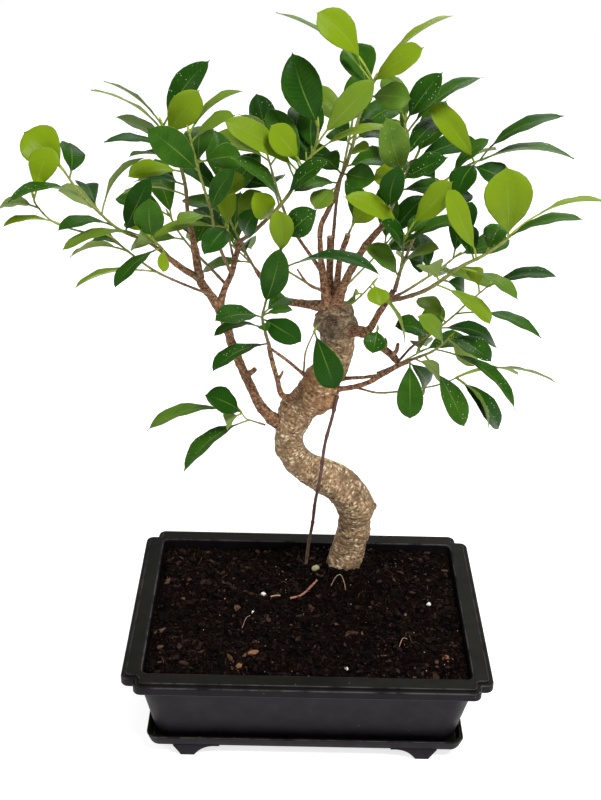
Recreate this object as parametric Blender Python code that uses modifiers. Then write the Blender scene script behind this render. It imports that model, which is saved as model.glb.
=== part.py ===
"""A ficus bonsai in a rectangular plastic pot, on a drip tray with four feet.

Everything is drawn in millimetres, with the pot's middle at x = y = 0, the feet
standing on z = 0, +X to the right and +Y to the back, and made in metres. At the end an
empty moves the whole so that its origin is under the middle of its bounding box.

The crown is a table of shoots. Each shoot is one grown piece: a twig and its leaves.
"""

import math

import bmesh
import bpy
from mathutils import Matrix, Vector, noise
from mathutils.bvhtree import BVHTree

MM = 0.001
GAP = 0.3  # between two pieces that touch

# The pot. Its rim is two crossed rectangles, so each corner has a small square step.
RIM_WIDTH, RIM_DEPTH = 280.0, 207.0
RIM_STEP_X, RIM_STEP_Y = 10.0, 9.5
RIM_TOP, RIM_HEIGHT, RIM_LEDGE = 90.7, 9.0, 15.6
RIM_CORNER = 6.0
WALL = 4.0
WALL_INSET = 11.0  # from the rim's outer edge to the top of the wall
BASE_INSET_X, BASE_INSET_Y = 21.0, 30.5  # from the rim's outer edge to the base
BASE_CORNER, BASE_BEVEL = 15.0, 3.0

# The drip tray and its feet.
TRAY_GAP_X, TRAY_GAP_Y = 1.8, 3.8  # from the pot's wall to the tray's, at the tray's top
TRAY_TOP, TRAY_HEIGHT, TRAY_FLARE, TRAY_WALL = 20.5, 10.4, 2.5, 2.6
FOOT_INSET, FOOT_WIDTH, FOOT_DEPTH = 32.0, 10.4, 16.0
FOOT_OUTER_SLOPE, FOOT_BRACKET = 6.0, 20.0
BRACKET_ARCH = ((0.45, 0.80), (0.23, 0.57))  # share of its length, share of the foot's height

# The soil, and where the tree stands in it.
SOIL_LEVEL, SOIL_MOUND, MOUND_SPREAD = 84.2, 15.0, 46.0
SOIL_CLEARANCE = 2.0  # from the pot's rounded floor
UNEVEN_HEIGHT, UNEVEN_LENGTH = 0.8, 34.0
SOIL_CORNER_PULL = 0.035  # the grid's square corners are drawn in by this share
TREE_X, TREE_Y = 30.0, 40.0

# The tree. Its drawing is DRAWN_HEIGHT tall, from the soil to the highest leaf.
DRAWN_HEIGHT = 449.0
TREE_HEIGHT = 449.0
BARK_SIDES, BRANCH_SIDES, TWIG_SIDES = 4, 2, 1  # Blender's bevel resolutions
ROOT_RADIUS = 1.3
TWIG_TAPER = 0.4  # how much thinner a twig's end is, as a share
LAST_LEAF = 0.985  # a leaf grows no further along its twig than this share
LEAF_THICKNESS = 0.8
LEAF_ARCH = 0.11  # how far a blade bows, as a share of its length
STALK_BREADTH = 1.5
LEAF_SHIFT, LEAF_SHIFTS = 4.0, 8  # the steps a leaf's tip is moved by to pass its neighbours

# ---------------------------------------------------------------------------
# The drawing of the tree, in millimetres.
#
# The tree is drawn in a front view, from EYE. A point's x and z are where it shows on
# the upright plane y = PLANE, and its third number is how far behind that plane it lies.
EYE = Vector((-18.5, -817.5, 708.0))
PLANE = 30.0

# x, z, back, radius
TRUNK = (
    (28, 90, 10, 16.5), (29, 103, 10, 15.2), (31.5, 118, 9, 14.2), (34.5, 135, 8, 13.6),
    (36, 150, 8, 13.4), (36, 160, 7, 14), (33.5, 170, 6, 15), (26, 180, 5, 15.2),
    (12, 189.5, 4, 13.8), (-1, 196, 3, 12.4), (-10, 203, 3, 12), (-15.5, 212, 3, 11.6),
    (-18, 222, 3, 11.6), (-17.5, 232, 2, 12), (-13.5, 243, 2, 13), (-8, 254, 2, 13),
    (-2, 262, 1, 14), (3, 270, 0, 14), (7.5, 279, 0, 13.6), (12.5, 290, 0, 12.8),
    (16, 300, 0, 12.2), (17, 309, 0, 11.5), (15, 317, 0, 12.5), (13.5, 325, 0, 14),
    (13, 333, 0, 13), (11, 340, 0, 8.5),
)
BRANCHES = (
    # a pruned stub, and the swelling that the hanging root grows from
    ((42, 165, 6, 7), (48, 163.5, 6, 4.5), (53, 162, 6, 2.2)),
    ((4, 266, -1, 11), (11, 264, -3, 8), (16, 262, -5, 4)),
    # the long left branch, its two upper arms and its right arm
    ((-16, 232, 2, 7), (-26, 238, 0, 6), (-34, 244, -2, 4.8), (-42, 254, -3, 4),
     (-47, 266, -4, 3.6), (-53, 280, -5, 3.5), (-58, 292, -6, 3.4), (-63, 306, -6, 3.4),
     (-67, 320, -6, 3.3), (-72, 333, -6, 3.7), (-77, 342, -6, 3.2), (-84, 352, -6, 3.1),
     (-88, 361, -6, 2.8)),
    ((-86, 357, -6, 2.8), (-88, 372, -4, 2.9), (-91, 390, 0, 2.1), (-94, 406, 3, 1.9)),
    ((-86, 357, -6, 2.6), (-99, 365, -9, 2.2), (-109, 373, -12, 1.9)),
    ((-72, 334, -6, 3), (-68, 349, -4, 2.3), (-63, 361, -2, 2.1), (-60, 373, 0, 2),
     (-57, 384, 2, 2)),
    # the dark branch that leaves the head to the left
    ((8, 337, 2, 5), (-8, 338.5, 8, 3.2), (-20, 340, 14, 2.9), (-30, 344, 18, 2.9),
     (-36, 352, 20, 2.2), (-45, 364, 22, 1.5)),
    # the upright branches on the head, two of them sawn off
    ((10, 332, 0, 6), (6, 350, 0, 3.4), (3.5, 364, -1, 2.6), (1.5, 380, -2, 2),
     (1, 398, -2, 1.9), (5, 409, -1, 1.7), (10, 420, 0, 1.6)),
    ((11, 334, 4, 5), (9.5, 352, 8, 2.6), (8.5, 368, 10, 2.4), (8, 392, 12, 2.2)),
    ((14, 334, 2, 5), (14.5, 356, 4, 2.6), (16, 375, 6, 2.2), (21, 394, 8, 2.1)),
    ((13, 332, -2, 6), (19, 354, -5, 3.2), (26, 370, -9, 2.7), (33, 384, -12, 2.5),
     (41, 395, -15, 2.3), (46, 401, -17, 2.2)),
    ((11, 338, 8, 3), (10, 362, 16, 1.5), (10, 385, 18, 1.3), (11, 405, 18, 1.2)),
    ((3.5, 364, -1, 1.8), (-5, 376, 4, 1.3), (-12, 386, 8, 1.2), (-18, 395, 12, 1.1)),
    # the right branch below the head, with its rising arm
    ((16, 316, -2, 7), (30, 317.5, -8, 4.3), (38, 315, -10, 3.8), (45, 309, -12, 3.4),
     (52, 303, -12, 2.8), (58, 298, -12, 2.7), (63, 292, -12, 2.2)),
    ((36, 315, -10, 3.2), (41, 321, -8, 2.6), (46, 332, -5, 2.3), (51, 341, -2, 2.2),
     (56, 351, 2, 2)),
    # the low right branch, and the thinner one that joins it
    ((8, 268, -3, 6), (20, 268.5, -7, 2.3), (32, 271, -10, 2), (42, 275, -12, 1.9),
     (52, 282, -14, 1.9), (62, 289, -16, 1.9), (70, 293, -18, 1.8)),
    ((12, 276, -3, 3), (27, 278, -6, 1.4), (38, 279, -10, 1.3), (51, 281.5, -14, 1.3)),
    # the left stem that rises from the trunk, and the one that crosses to it
    ((-12, 258, -3, 5), (-24, 262, -9, 2.3), (-28, 275, -11, 1.9), (-32, 290, -13, 1.8),
     (-35, 303, -14, 1.7)),
    ((-2, 276, -3, 3), (-10, 282, -8, 1.4), (-20, 291, -11, 1.2), (-33, 301, -14, 1.1)),
)
HANGING_ROOT = (
    (18, 262, -12), (15, 247, -13), (11, 224, -14), (8.5, 204, -15), (6.5, 186, -15),
    (4.5, 168, -10), (2.5, 150, -2), (0.5, 130, 8), (-1, 116, 15), (-2.5, 104, 20),
)

# name, twig radius, the twig's path (x, z, back), then its leaves: the share of the twig's
# length where it grows, the tip's x, z and back, the breadth, the turn and the stalk.
# A turn of 0 shows the leaf's whole face to the front, 90 only its edge.
SHOOTS = (
    ("far_left_low", 1.0,
     ((-80, 345, -10), (-100, 353, -14), (-120, 363, -18), (-139, 378, -22),
      (-152, 389, -24), (-170, 391, -26), (-190, 398, -28), (-201, 410, -28),
      (-203, 417, -28)),
     ((1.0, -187, 453, -22, 20, 10, 7), (0.93, -228, 408, -42, 18, 120, 6),
      (0.8, -227, 393, -48, 17, 78, 6), (0.45, -180, 371, -40, 17, 100, 8),
      (0.5, -164, 384, -8, 15, 60, 5), (0.27, -178, 347, -45, 18, 80, 12))),
    ("far_left_high", 1.3,
     ((-110, 374, -13), (-118, 381, -15), (-126, 386, -16), (-139, 391, -17),
      (-148, 397, -18), (-156, 405, -18), (-165, 414, -18), (-172, 423, -17),
      (-177, 431, -16), (-180, 436, -15)),
     ((1.0, -206, 463, -14, 29, 8, 5), (0.93, -175, 456, 12, 20, 30, 5),
      (0.74, -221, 412, -62, 19, 76, 8), (0.6, -186, 421, 20, 19, 125, 6),
      (0.64, -166, 424, 46, 17, 30, 5), (0.58, -122, 447, -2, 17, 100, 8),
      (0.42, -188, 391, -48, 18, 70, 6), (0.36, -119, 433, -30, 19, 25, 5))),
    ("left_fan", 1.1,
     ((-111, 377, -15), (-115, 382, -20), (-120, 387, -26)),
     ((1.0, -121, 418, -40, 21, 5, 6), (0.95, -136, 401, -6, 17, 20, 5),
      (0.5, -130, 384, -52, 15, 160, 5), (0.9, -186, 376, -52, 19, 74, 8),
      (0.3, -149, 347, -54, 18, 60, 6), (0.2, -113, 361, -38, 9, 20, 4))),
    ("upper_left", 1.5,
     ((-94, 408, 3), (-95, 426, 4), (-98, 440, 5), (-102, 452, 6), (-107, 462, 6),
      (-110, 470, 6)),
     ((1.0, -77, 515, 10, 19, 20, 8), (0.9, -84, 495, -12, 22, 0, 6),
      (0.96, -149, 499, 0, 15, 100, 10), (0.85, -158, 493, -22, 17, 95, 8),
      (0.75, -143, 475, 20, 17, 120, 6), (0.66, -151, 457, -14, 18, 75, 6),
      (0.55, -134, 447, 26, 15, 80, 6), (0.45, -136, 432, -22, 19, 50, 6),
      (0.3, -131, 429, 14, 18, 70, 6), (0.18, -139, 420, 30, 16, 82, 10))),
    ("upper_left_inner", 1.3,
     ((-64, 364, -6), (-70, 378, -9), (-75, 395, -12), (-77, 408, -14), (-81, 422, -15),
      (-85, 436, -15), (-89, 452, -13), (-92, 466, -11)),
     ((0.74, -121, 468, -38, 23, 5, 6), (1.0, -54, 495, -4, 17, 75, 7),
      (0.93, -60, 478, -24, 17, 60, 6), (0.8, -55, 448, 8, 20, 15, 6),
      (0.76, -82, 470, 24, 22, 15, 6), (0.46, -60, 441, -36, 15, 20, 6),
      (0.55, -53, 434, -24, 16, 30, 6), (0.42, -101, 398, -32, 17, 60, 6))),
    ("left_inner", 1.0,
     ((-62, 376, 3), (-64, 386, 0), (-66, 397, -6)),
     ((1.0, -119, 388, -22, 18, 70, 8), (0.95, -83, 375, -46, 18, 15, 5),
      (0.9, -71, 430, -16, 16, 30, 6), (0.5, -90, 410, 20, 17, 50, 6))),
    ("centre_left", 1.6,
     ((-56, 387, 1), (-48, 393, -6), (-40, 401, -12), (-30, 412, -16), (-20, 426, -18),
      (-14, 440, -18), (-6, 453, -16), (-3, 465, -14), (-3, 472, -13)),
     ((1.0, -22, 522, -8, 27, 5, 6), (0.8, 48, 472, -30, 17, 70, 12),
      (0.72, -36, 472, -34, 20, 20, 13), (0.68, -68, 474, -36, 20, 35, 8),
      (0.82, -4, 488, 8, 20, 20, 5), (0.62, -58, 479, 0, 17, 110, 6),
      (0.7, -38, 484, 0, 20, 10, 6), (0.76, -17, 488, 26, 20, 10, 6),
      (0.85, 35, 505, -26, 19, 20, 18), (0.3, -47, 424, -36, 18, 15, 4),
      (0.06, -43, 412, -26, 17, 30, 4), (0.42, -63, 448, -38, 18, 60, 6),
      (0.5, 6, 448, -32, 17, 45, 6))),
    ("node_twig", 0.9,
     ((0, 351, -6), (-12, 358, -14), (-27, 369, -24), (-27, 380, -28), (-24, 391, -31)),
     ((1.0, -2, 412, -44, 20, 10, 5), (0.75, -30, 412, -46, 17, 10, 6),
      (0.55, 47, 362, -60, 21, 70, 10))),
    ("left_stem", 1.4,
     ((-35, 305, -15), (-38, 316, -18), (-40, 327, -20), (-38, 338, -23)),
     ((1.0, -27, 383, -38, 20, 0, 5), (0.66, -76, 323, -44, 19, 45, 5),
      (0.4, -77, 310, -36, 17, 70, 5), (0.02, -78, 280, -48, 19, 55, 5),
      (0.75, -22, 343, 8, 17, 20, 5), (0.7, -17, 333, -26, 12, 60, 4),
      (0.62, -10, 307, -52, 19, 15, 5), (0.45, -35, 316, -44, 9, 20, 4))),
    ("trunk_leaf", 0.8,
     ((-8, 287, -10), (-7, 300, -14), (-1, 317, -19)),
     ((1.0, 16, 268, -26, 22, 0, 4),)),
    ("low_left", 0.8,
     ((-41, 237, -8), (-47, 239, -11), (-52, 241, -13), (-56, 247, -15)),
     ((1.0, -129, 228, -38, 20, 60, 18), (0.95, -84, 261, -34, 21, 30, 4),
      (0.45, -101, 192, -44, 21, 55, 10), (0.9, -67, 235, -34, 14, 150, 4))),
    ("dark_left", 1.1,
     ((-46, 366, 23), (-51, 375, 25), (-56, 386, 30), (-62, 398, 36), (-67, 412, 42),
      (-70, 426, 46)),
     ((1.0, -74, 468, 56, 22, 20, 6), (0.85, -104, 448, 62, 20, 40, 6),
      (0.8, -42, 452, 58, 22, 30, 6), (0.6, -98, 416, 60, 20, 50, 6),
      (0.5, -42, 425, 52, 20, 30, 6), (0.3, -88, 389, 52, 18, 50, 6))),
    ("top", 1.5,
     ((10, 422, 0), (13, 433, -2), (18, 447, -4), (22, 462, -5), (24, 475, -5),
      (28, 488, -6), (32, 498, -8), (34, 504, -9)),
     ((0.96, 66, 527, -30, 19, 35, 5), (1.0, 84, 548, 12, 18, 80, 12),
      (0.98, -8, 548, -28, 24, 10, 20), (0.97, -33, 547, 16, 18, 80, 14),
      (0.9, 18, 528, 26, 25, 5, 6), (0.86, 60, 492, -20, 20, 15, 5),
      (0.12, -19, 424, -22, 17, 50, 5), (0.08, -4, 412, -20, 17, 30, 5),
      (0.2, 0, 450, 16, 19, 20, 4), (0.2, 39, 434, -22, 19, 20, 5),
      (0.35, 33, 456, -26, 13, 60, 4), (0.45, 8, 470, 14, 20, 10, 5),
      (0.5, 40, 470, 24, 20, 30, 5))),
    ("top_right", 1.3,
     ((47, 403, -17), (51, 414, -16), (54, 426, -13), (56, 440, -10), (57, 455, -8),
      (57, 468, -8), (57, 477, -8)),
     ((1.0, 80, 511, -14, 18, 20, 6), (0.98, 40, 508, 6, 18, 25, 6),
      (0.5, 43, 480, -34, 22, 10, 5), (0.15, 55, 446, -38, 17, 10, 6),
      (0.85, 108, 508, 14, 18, 60, 12), (0.35, 38, 442, -12, 17, 15, 6),
      (0.75, 66, 497, 18, 17, 70, 8), (0.6, 88, 480, 26, 18, 40, 6),
      (0.4, 88, 452, -20, 18, 40, 6))),
    ("right_high", 1.3,
     ((57, 353, 3), (60, 366, 6), (65, 382, 10), (70, 398, 14), (75, 414, 16),
      (82, 429, 17), (93, 440, 17), (105, 448, 16), (112, 451, 15)),
     ((0.95, 71, 490, 8, 19, 25, 6), (1.0, 165, 483, 0, 18, 60, 12),
      (0.98, 176, 453, -12, 18, 75, 6), (0.8, 122, 458, 40, 17, 75, 6),
      (0.78, 116, 466, 20, 17, 55, 6), (0.97, 97, 424, -6, 20, 25, 6),
      (0.9, 134, 436, 6, 19, 30, 6), (0.7, 62, 449, 34, 18, 40, 6),
      (0.55, 108, 425, 30, 19, 40, 6))),
    ("right_front", 1.2,
     ((58, 354, -2), (60, 366, -8), (61, 380, -14), (61, 391, -18)),
     ((1.0, 16, 422, -32, 17, 40, 5), (0.98, 93, 435, -42, 20, 25, 22),
      (0.95, 81, 408, -4, 17, 50, 5), (0.88, 108, 406, -30, 18, 60, 6),
      (0.75, 43, 404, -38, 16, 50, 5), (0.65, 76, 374, 2, 18, 10, 5),
      (0.2, 33, 384, -24, 18, 40, 6), (0.4, 88, 384, -32, 17, 70, 6))),
    ("right_long", 1.7,
     ((55, 343, -7), (66, 346, -12), (80, 352, -16), (92, 361, -20), (104, 371, -24),
      (118, 379, -26), (130, 388, -28), (137, 395, -28)),
     ((1.0, 129, 447, -34, 33, 5, 5), (0.98, 188, 409, -46, 17, 65, 4),
      (0.72, 89, 430, -48, 17, 25, 12), (0.7, 97, 405, -8, 18, 30, 4),
      (0.8, 130, 404, -8, 17, 15, 4), (0.94, 205, 422, -22, 17, 75, 28),
      (0.58, 148, 346, -50, 17, 60, 14), (0.4, 80, 371, -52, 19, 160, 5),
      (0.36, 130, 325, -52, 17, 50, 12), (0.42, 108, 350, 6, 17, 40, 6))),
    ("right_low", 1.0,
     ((66, 297, -10), (72, 305, -8), (80, 312, -6), (92, 322, -4), (103, 333, -2),
      (109, 340, 0), (116, 347, 2), (125, 356, 4)),
     ((0.62, 169, 315, -34, 18, 65, 22), (1.0, 176, 364, -12, 18, 60, 6),
      (0.9, 111, 371, 12, 14, 30, 5), (0.42, 137, 305, 18, 18, 50, 6),
      (0.3, 58, 322, -26, 18, 40, 4), (0.5, 74, 345, 22, 16, 30, 5))),
    ("low_right_front", 1.2,
     ((71, 294, -19), (80, 298, -21), (88, 302, -23), (95, 308, -25), (100, 314, -26)),
     ((0.02, 75, 243, -36, 20, 0, 4), (0.12, 95, 277, -44, 15, 130, 4),
      (0.35, 118, 237, -46, 18, 20, 18), (0.6, 156, 253, -54, 18, 60, 16),
      (1.0, 134, 294, -56, 20, 45, 5), (0.95, 121, 290, -28, 17, 150, 6),
      (0.8, 74, 331, -40, 15, 40, 5))),
    ("low_right_back", 0.9,
     ((36, 269, -8), (48, 266, -10), (62, 267, -12), (78, 270, -13), (92, 273, -13),
      (104, 278, -13), (109, 281, -12)),
     ((1.0, 137, 235, -30, 17, 78, 6), (0.98, 145, 236, -2, 18, 35, 8),
      (1.0, 184, 278, -10, 16, 85, 24), (0.97, 155, 284, 14, 15, 80, 24))),
    ("head_right", 0.9,
     ((19, 338, -10), (26, 340, -14), (34, 348, -19), (41, 357, -24)),
     ((1.0, 46, 338, -40, 17, 20, 4), (0.6, 28, 341, -44, 13, 100, 4),
      (0.85, 67, 309, -34, 16, 80, 5))),
    ("heart_leaf", 0.8,
     ((46, 315, -15), (46, 320, -21)),
     ((1.0, 43, 299, -34, 17, 0, 3),)),
    ("spur", 1.0,
     ((22, 396, 8), (24, 401, 6)),
     ((1.0, 41, 420, -6, 18, 10, 3), (0.9, 18, 435, 30, 17, 30, 5))),
    # the back of the crown
    ("back_top", 1.2,
     ((11, 407, 18), (12, 421, 26), (15, 440, 38), (18, 458, 48), (20, 472, 54)),
     ((1.0, 26, 512, 62, 22, 10, 6), (0.9, -14, 498, 70, 21, 30, 6),
      (0.85, 58, 488, 76, 21, 30, 6), (0.6, -22, 452, 70, 20, 40, 6),
      (0.55, 54, 445, 80, 20, 40, 6), (0.95, 22, 480, 100, 21, 70, 6))),
    ("back_left_top", 1.2,
     ((-19, 396, 13), (-24, 407, 24), (-29, 421, 35), (-34, 438, 46), (-38, 452, 54)),
     ((1.0, -46, 494, 60, 21, 15, 6), (0.9, -78, 462, 76, 20, 40, 6),
      (0.85, -4, 470, 88, 20, 40, 6), (0.55, -70, 426, 74, 19, 40, 6),
      (0.6, -34, 430, 96, 20, 60, 6), (1.0, -48, 470, 98, 20, 60, 6))),
    ("back_right_top", 1.2,
     ((44, 401, -9), (48, 412, 8), (53, 424, 24), (59, 438, 38), (66, 452, 48)),
     ((1.0, 84, 492, 54, 21, 15, 6), (0.9, 108, 464, 60, 20, 40, 6),
      (0.85, 42, 478, 66, 20, 30, 6), (0.55, 92, 428, 62, 19, 40, 6),
      (0.7, 62, 440, 94, 20, 60, 6))),
    ("back_right", 1.2,
     ((55, 345, 8), (64, 350, 20), (75, 358, 34), (88, 368, 46), (100, 379, 56)),
     ((1.0, 138, 392, 66, 20, 30, 6), (0.95, 108, 421, 72, 21, 15, 6),
      (0.7, 128, 357, 66, 19, 50, 6), (0.6, 70, 396, 74, 19, 30, 6),
      (0.85, 92, 372, 108, 20, 60, 6))),
    ("back_left", 1.2,
     ((-68, 354, 2), (-77, 364, 16), (-88, 376, 32), (-99, 390, 46), (-107, 405, 56)),
     ((1.0, -146, 416, 66, 20, 40, 6), (0.95, -116, 447, 70, 21, 15, 6),
      (0.7, -136, 378, 66, 19, 50, 6), (0.55, -76, 403, 48, 19, 30, 6),
      (0.85, -96, 388, 106, 20, 60, 6))),
    ("back_low_left", 1.0,
     ((-30, 347, 24), (-38, 357, 42), (-48, 369, 58), (-60, 381, 72)),
     ((1.0, -80, 404, 118, 19, 40, 6), (0.95, -56, 424, 92, 20, 20, 6),
      (0.7, -84, 362, 92, 18, 60, 6), (0.8, -48, 380, 122, 19, 60, 6))),
    ("back_low_right", 1.0,
     ((50, 284, -6), (58, 288, 12), (68, 294, 28), (80, 302, 42)),
     ((1.0, 118, 308, 56, 19, 40, 6), (0.9, 92, 341, 62, 19, 20, 6),
      (0.7, 82, 268, 66, 18, 40, 6), (0.95, 84, 306, 92, 19, 60, 6))),
    ("back_head", 1.0,
     ((14, 342, 18), (20, 352, 38), (30, 364, 56), (42, 378, 72), (52, 392, 84)),
     ((1.0, 76, 424, 96, 20, 20, 6), (0.9, 44, 432, 100, 20, 20, 6),
      (0.8, 84, 384, 96, 19, 40, 6), (0.9, 56, 380, 132, 20, 60, 6))),
)

# x, y, length, breadth, height and heading of each loose bit on the soil
BITS = {
    "perlite": ((-36, 22, 6, 5, 4, 20), (100, 10, 5, 4, 4, 50), (30, -70, 4, 4, 3, 0),
                (-44, -4, 4, 4, 3, 70)),
    "pebble": ((7, 36, 8, 6, 6, 30),),
    "bark_chip": ((-42, -55, 9, 5, 3, 20), (-52, -70, 7, 5, 3, 70), (108, -55, 8, 5, 3, 100)),
}
DEAD_TWIG = ((-14, 8), (-4, 11), (8, 20))
DEAD_TWIG_RADIUS = 1.1

# name, colour, roughness
PLASTIC = ("pot_plastic", (0.03, 0.028, 0.03), 0.5)
SOIL = ("soil", (0.02, 0.014, 0.01), 0.95)
BARK = ("bark", (0.25, 0.18, 0.11), 0.8)
ROOT = ("root_bark", (0.12, 0.08, 0.06), 0.8)
FOLIAGE = ("foliage", (0.05, 0.16, 0.02), 0.35)
PERLITE = ("perlite", (0.8, 0.78, 0.72), 0.9)
CHIP = ("bark_chip", (0.22, 0.13, 0.07), 0.85)


def clear_scene():
    for obj in list(bpy.data.objects):
        bpy.data.objects.remove(obj, do_unlink=True)


def material(name, colour, roughness):
    found = bpy.data.materials.get(name)
    if found is None:
        found = bpy.data.materials.new(name)
        found.use_nodes = True
        shader = found.node_tree.nodes["Principled BSDF"]
        shader.inputs["Base Color"].default_value = (*colour, 1.0)
        shader.inputs["Roughness"].default_value = roughness
        found.diffuse_color = (*colour, 1.0)
    return found


def new_collection(name, parent):
    made = bpy.data.collections.new(name)
    parent.children.link(made)
    return made


clear_scene()
PARTS = new_collection("bonsai", bpy.context.scene.collection)
OPERANDS = new_collection("operands", bpy.context.scene.collection)
CENTRE = bpy.data.objects.new("bonsai_centre", None)
PARTS.objects.link(CENTRE)


def as_part(obj, look):
    """Makes the object a node of the part, with its material."""
    PARTS.objects.link(obj)
    obj.parent = CENTRE
    obj.data.materials.append(material(*look))
    return obj


def as_operand(obj, collection=OPERANDS):
    """Keeps the object out of the part: it only lends its shape to a Boolean."""
    collection.objects.link(obj)
    obj.parent = CENTRE
    obj.hide_render = True
    obj.display_type = "WIRE"
    return obj


def combine(obj, operation, other):
    """A Boolean with one object or with every object of a collection."""
    modifier = obj.modifiers.new(operation.lower(), "BOOLEAN")
    modifier.operation = operation
    modifier.solver = "EXACT"
    if isinstance(other, bpy.types.Collection):
        modifier.operand_type = "COLLECTION"
        modifier.collection = other
    else:
        modifier.object = other
    return modifier


def object_of(name, bm):
    bmesh.ops.recalc_face_normals(bm, faces=bm.faces)
    data = bpy.data.meshes.new(name)
    bm.to_mesh(data)
    bm.free()
    return bpy.data.objects.new(name, data)


def mesh_from_curve(obj):
    """The curve's solid as a mesh object with its caps welded, in the curve's place."""
    bpy.context.scene.collection.objects.link(obj)
    graph = bpy.context.evaluated_depsgraph_get()
    data = bpy.data.meshes.new_from_object(obj.evaluated_get(graph))
    name, curve = obj.name, obj.data
    bpy.data.objects.remove(obj)
    bpy.data.curves.remove(curve)
    bm = bmesh.new()
    bm.from_mesh(data)
    bpy.data.meshes.remove(data)
    bmesh.ops.remove_doubles(bm, verts=bm.verts, dist=1e-6)
    return object_of(name, bm)


def tube(name, points, radii, resolution):
    """A tapering rod through the points, with filled caps. Points and radii in metres."""
    curve = bpy.data.curves.new(name, "CURVE")
    curve.dimensions = "3D"
    curve.bevel_depth = 1.0
    curve.bevel_resolution = resolution
    curve.use_fill_caps = True
    spline = curve.splines.new("POLY")
    spline.points.add(len(points) - 1)
    for place, point, radius in zip(spline.points, points, radii):
        place.co = (*point, 1.0)
        place.radius = radius
    return mesh_from_curve(bpy.data.objects.new(name, curve))


def plate(name, outlines, bottom, thickness):
    """A flat plate between outlines in plan, an outer one and its holes. Millimetres."""
    curve = bpy.data.curves.new(name, "CURVE")
    curve.dimensions = "2D"
    curve.fill_mode = "BOTH"
    curve.extrude = thickness / 2 * MM
    for outline in outlines:
        spline = curve.splines.new("POLY")
        spline.points.add(len(outline) - 1)
        spline.use_cyclic_u = True
        for place, (x, y) in zip(spline.points, outline):
            place.co = (x * MM, y * MM, 0.0, 1.0)
    made = mesh_from_curve(bpy.data.objects.new(name, curve))
    made.data.transform(Matrix.Translation((0, 0, (bottom + thickness / 2) * MM)))
    return made


# ---------------------------------------------------------------------------
# The pot, the tray and the soil


def arc(x, y, radius, start, turn, steps):
    """Points of an arc round (x, y), angles in quarter turns."""
    angles = [math.pi / 2 * (start + turn * i / steps) for i in range(steps + 1)]
    return [(x + radius * math.cos(a), y + radius * math.sin(a)) for a in angles]


def rounded_rectangle(width, depth, radius, steps=4):
    x, y = width / 2 - radius, depth / 2 - radius
    corners = ((x, y), (-x, y), (-x, -y), (x, -y))
    return [p for i, (cx, cy) in enumerate(corners) for p in arc(cx, cy, radius, i, 1, steps)]


def stepped_rectangle(width, depth, step_x, step_y, radius):
    """A rectangle whose corners are stepped in, each step's two outer corners rounded."""
    quarter = arc(width / 2 - radius, depth / 2 - step_y - radius, radius, 0, 1, 2)
    quarter.append((width / 2 - step_x, depth / 2 - step_y))
    quarter += arc(width / 2 - step_x - radius, depth / 2 - radius, radius, 0, 1, 2)
    points = []
    for i in range(4):
        mirrored = [(x if i in (0, 3) else -x, y if i < 2 else -y) for x, y in quarter]
        points += mirrored if i % 2 == 0 else mirrored[::-1]
    return points


def open_box(name, levels, thickness):
    """An open tapering box through (outline, z) levels, as a shell with Solidify."""
    bm = bmesh.new()
    rings = [[bm.verts.new((x * MM, y * MM, z * MM)) for x, y in ring] for ring, z in levels]
    bm.faces.new(rings[0])
    for lower, upper in zip(rings, rings[1:]):
        for i in range(len(lower)):
            j = (i + 1) % len(lower)
            bm.faces.new((lower[i], lower[j], upper[j], upper[i]))
    made = object_of(name, bm)
    if made.data.polygons[0].normal.z > 0:
        made.data.flip_normals()
    shell = made.modifiers.new("wall", "SOLIDIFY")
    shell.thickness = thickness * MM
    shell.offset = -1.0
    shell.use_even_offset = True
    return made


def wall_size(z):
    """Width and depth of the pot's outer wall at height z."""
    share = (z - pot_bottom()) / (RIM_TOP - RIM_HEIGHT - pot_bottom())
    inset_x = BASE_INSET_X + (WALL_INSET - BASE_INSET_X) * share
    inset_y = BASE_INSET_Y + (WALL_INSET - BASE_INSET_Y) * share
    return RIM_WIDTH - 2 * inset_x, RIM_DEPTH - 2 * inset_y


def pot_bottom():
    return TRAY_TOP - TRAY_HEIGHT + TRAY_WALL + GAP


def make_pot():
    lip = RIM_TOP - RIM_HEIGHT / 2
    floor, bevelled = pot_bottom(), pot_bottom() + BASE_BEVEL
    low_width, low_depth = (side - 2 * BASE_BEVEL for side in wall_size(floor))
    levels = [
        (rounded_rectangle(low_width, low_depth, BASE_CORNER - BASE_BEVEL), floor),
        (rounded_rectangle(*wall_size(bevelled), BASE_CORNER), bevelled),
        (rounded_rectangle(*wall_size(lip), BASE_CORNER), lip),
    ]
    pot = as_part(open_box("pot", levels, WALL), PLASTIC)
    outer = stepped_rectangle(RIM_WIDTH, RIM_DEPTH, RIM_STEP_X, RIM_STEP_Y, RIM_CORNER)
    width, depth = RIM_WIDTH - 2 * RIM_LEDGE, RIM_DEPTH - 2 * RIM_LEDGE
    inner = rounded_rectangle(width, depth, BASE_CORNER - WALL)
    rim = as_operand(plate("rim", (outer, inner), RIM_TOP - RIM_HEIGHT, RIM_HEIGHT))
    # EXACT leaves open edges along the rim's steps
    combine(pot, "UNION", rim).solver = "MANIFOLD"
    return pot


def foot_profile(direction):
    """The foot in front view. Its bracket runs inwards, against the given direction."""
    half, under = FOOT_WIDTH / 2, TRAY_TOP - TRAY_HEIGHT
    top = under + TRAY_WALL / 2
    points = [
        (-half, 0), (half, 0), (half + FOOT_OUTER_SLOPE, top),
        (-half - FOOT_BRACKET, top), (-half - FOOT_BRACKET, 0.99 * under),
    ]
    points += [(-half - FOOT_BRACKET * share, under * up) for share, up in BRACKET_ARCH]
    return [(x * direction, z) for x, z in points]


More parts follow.
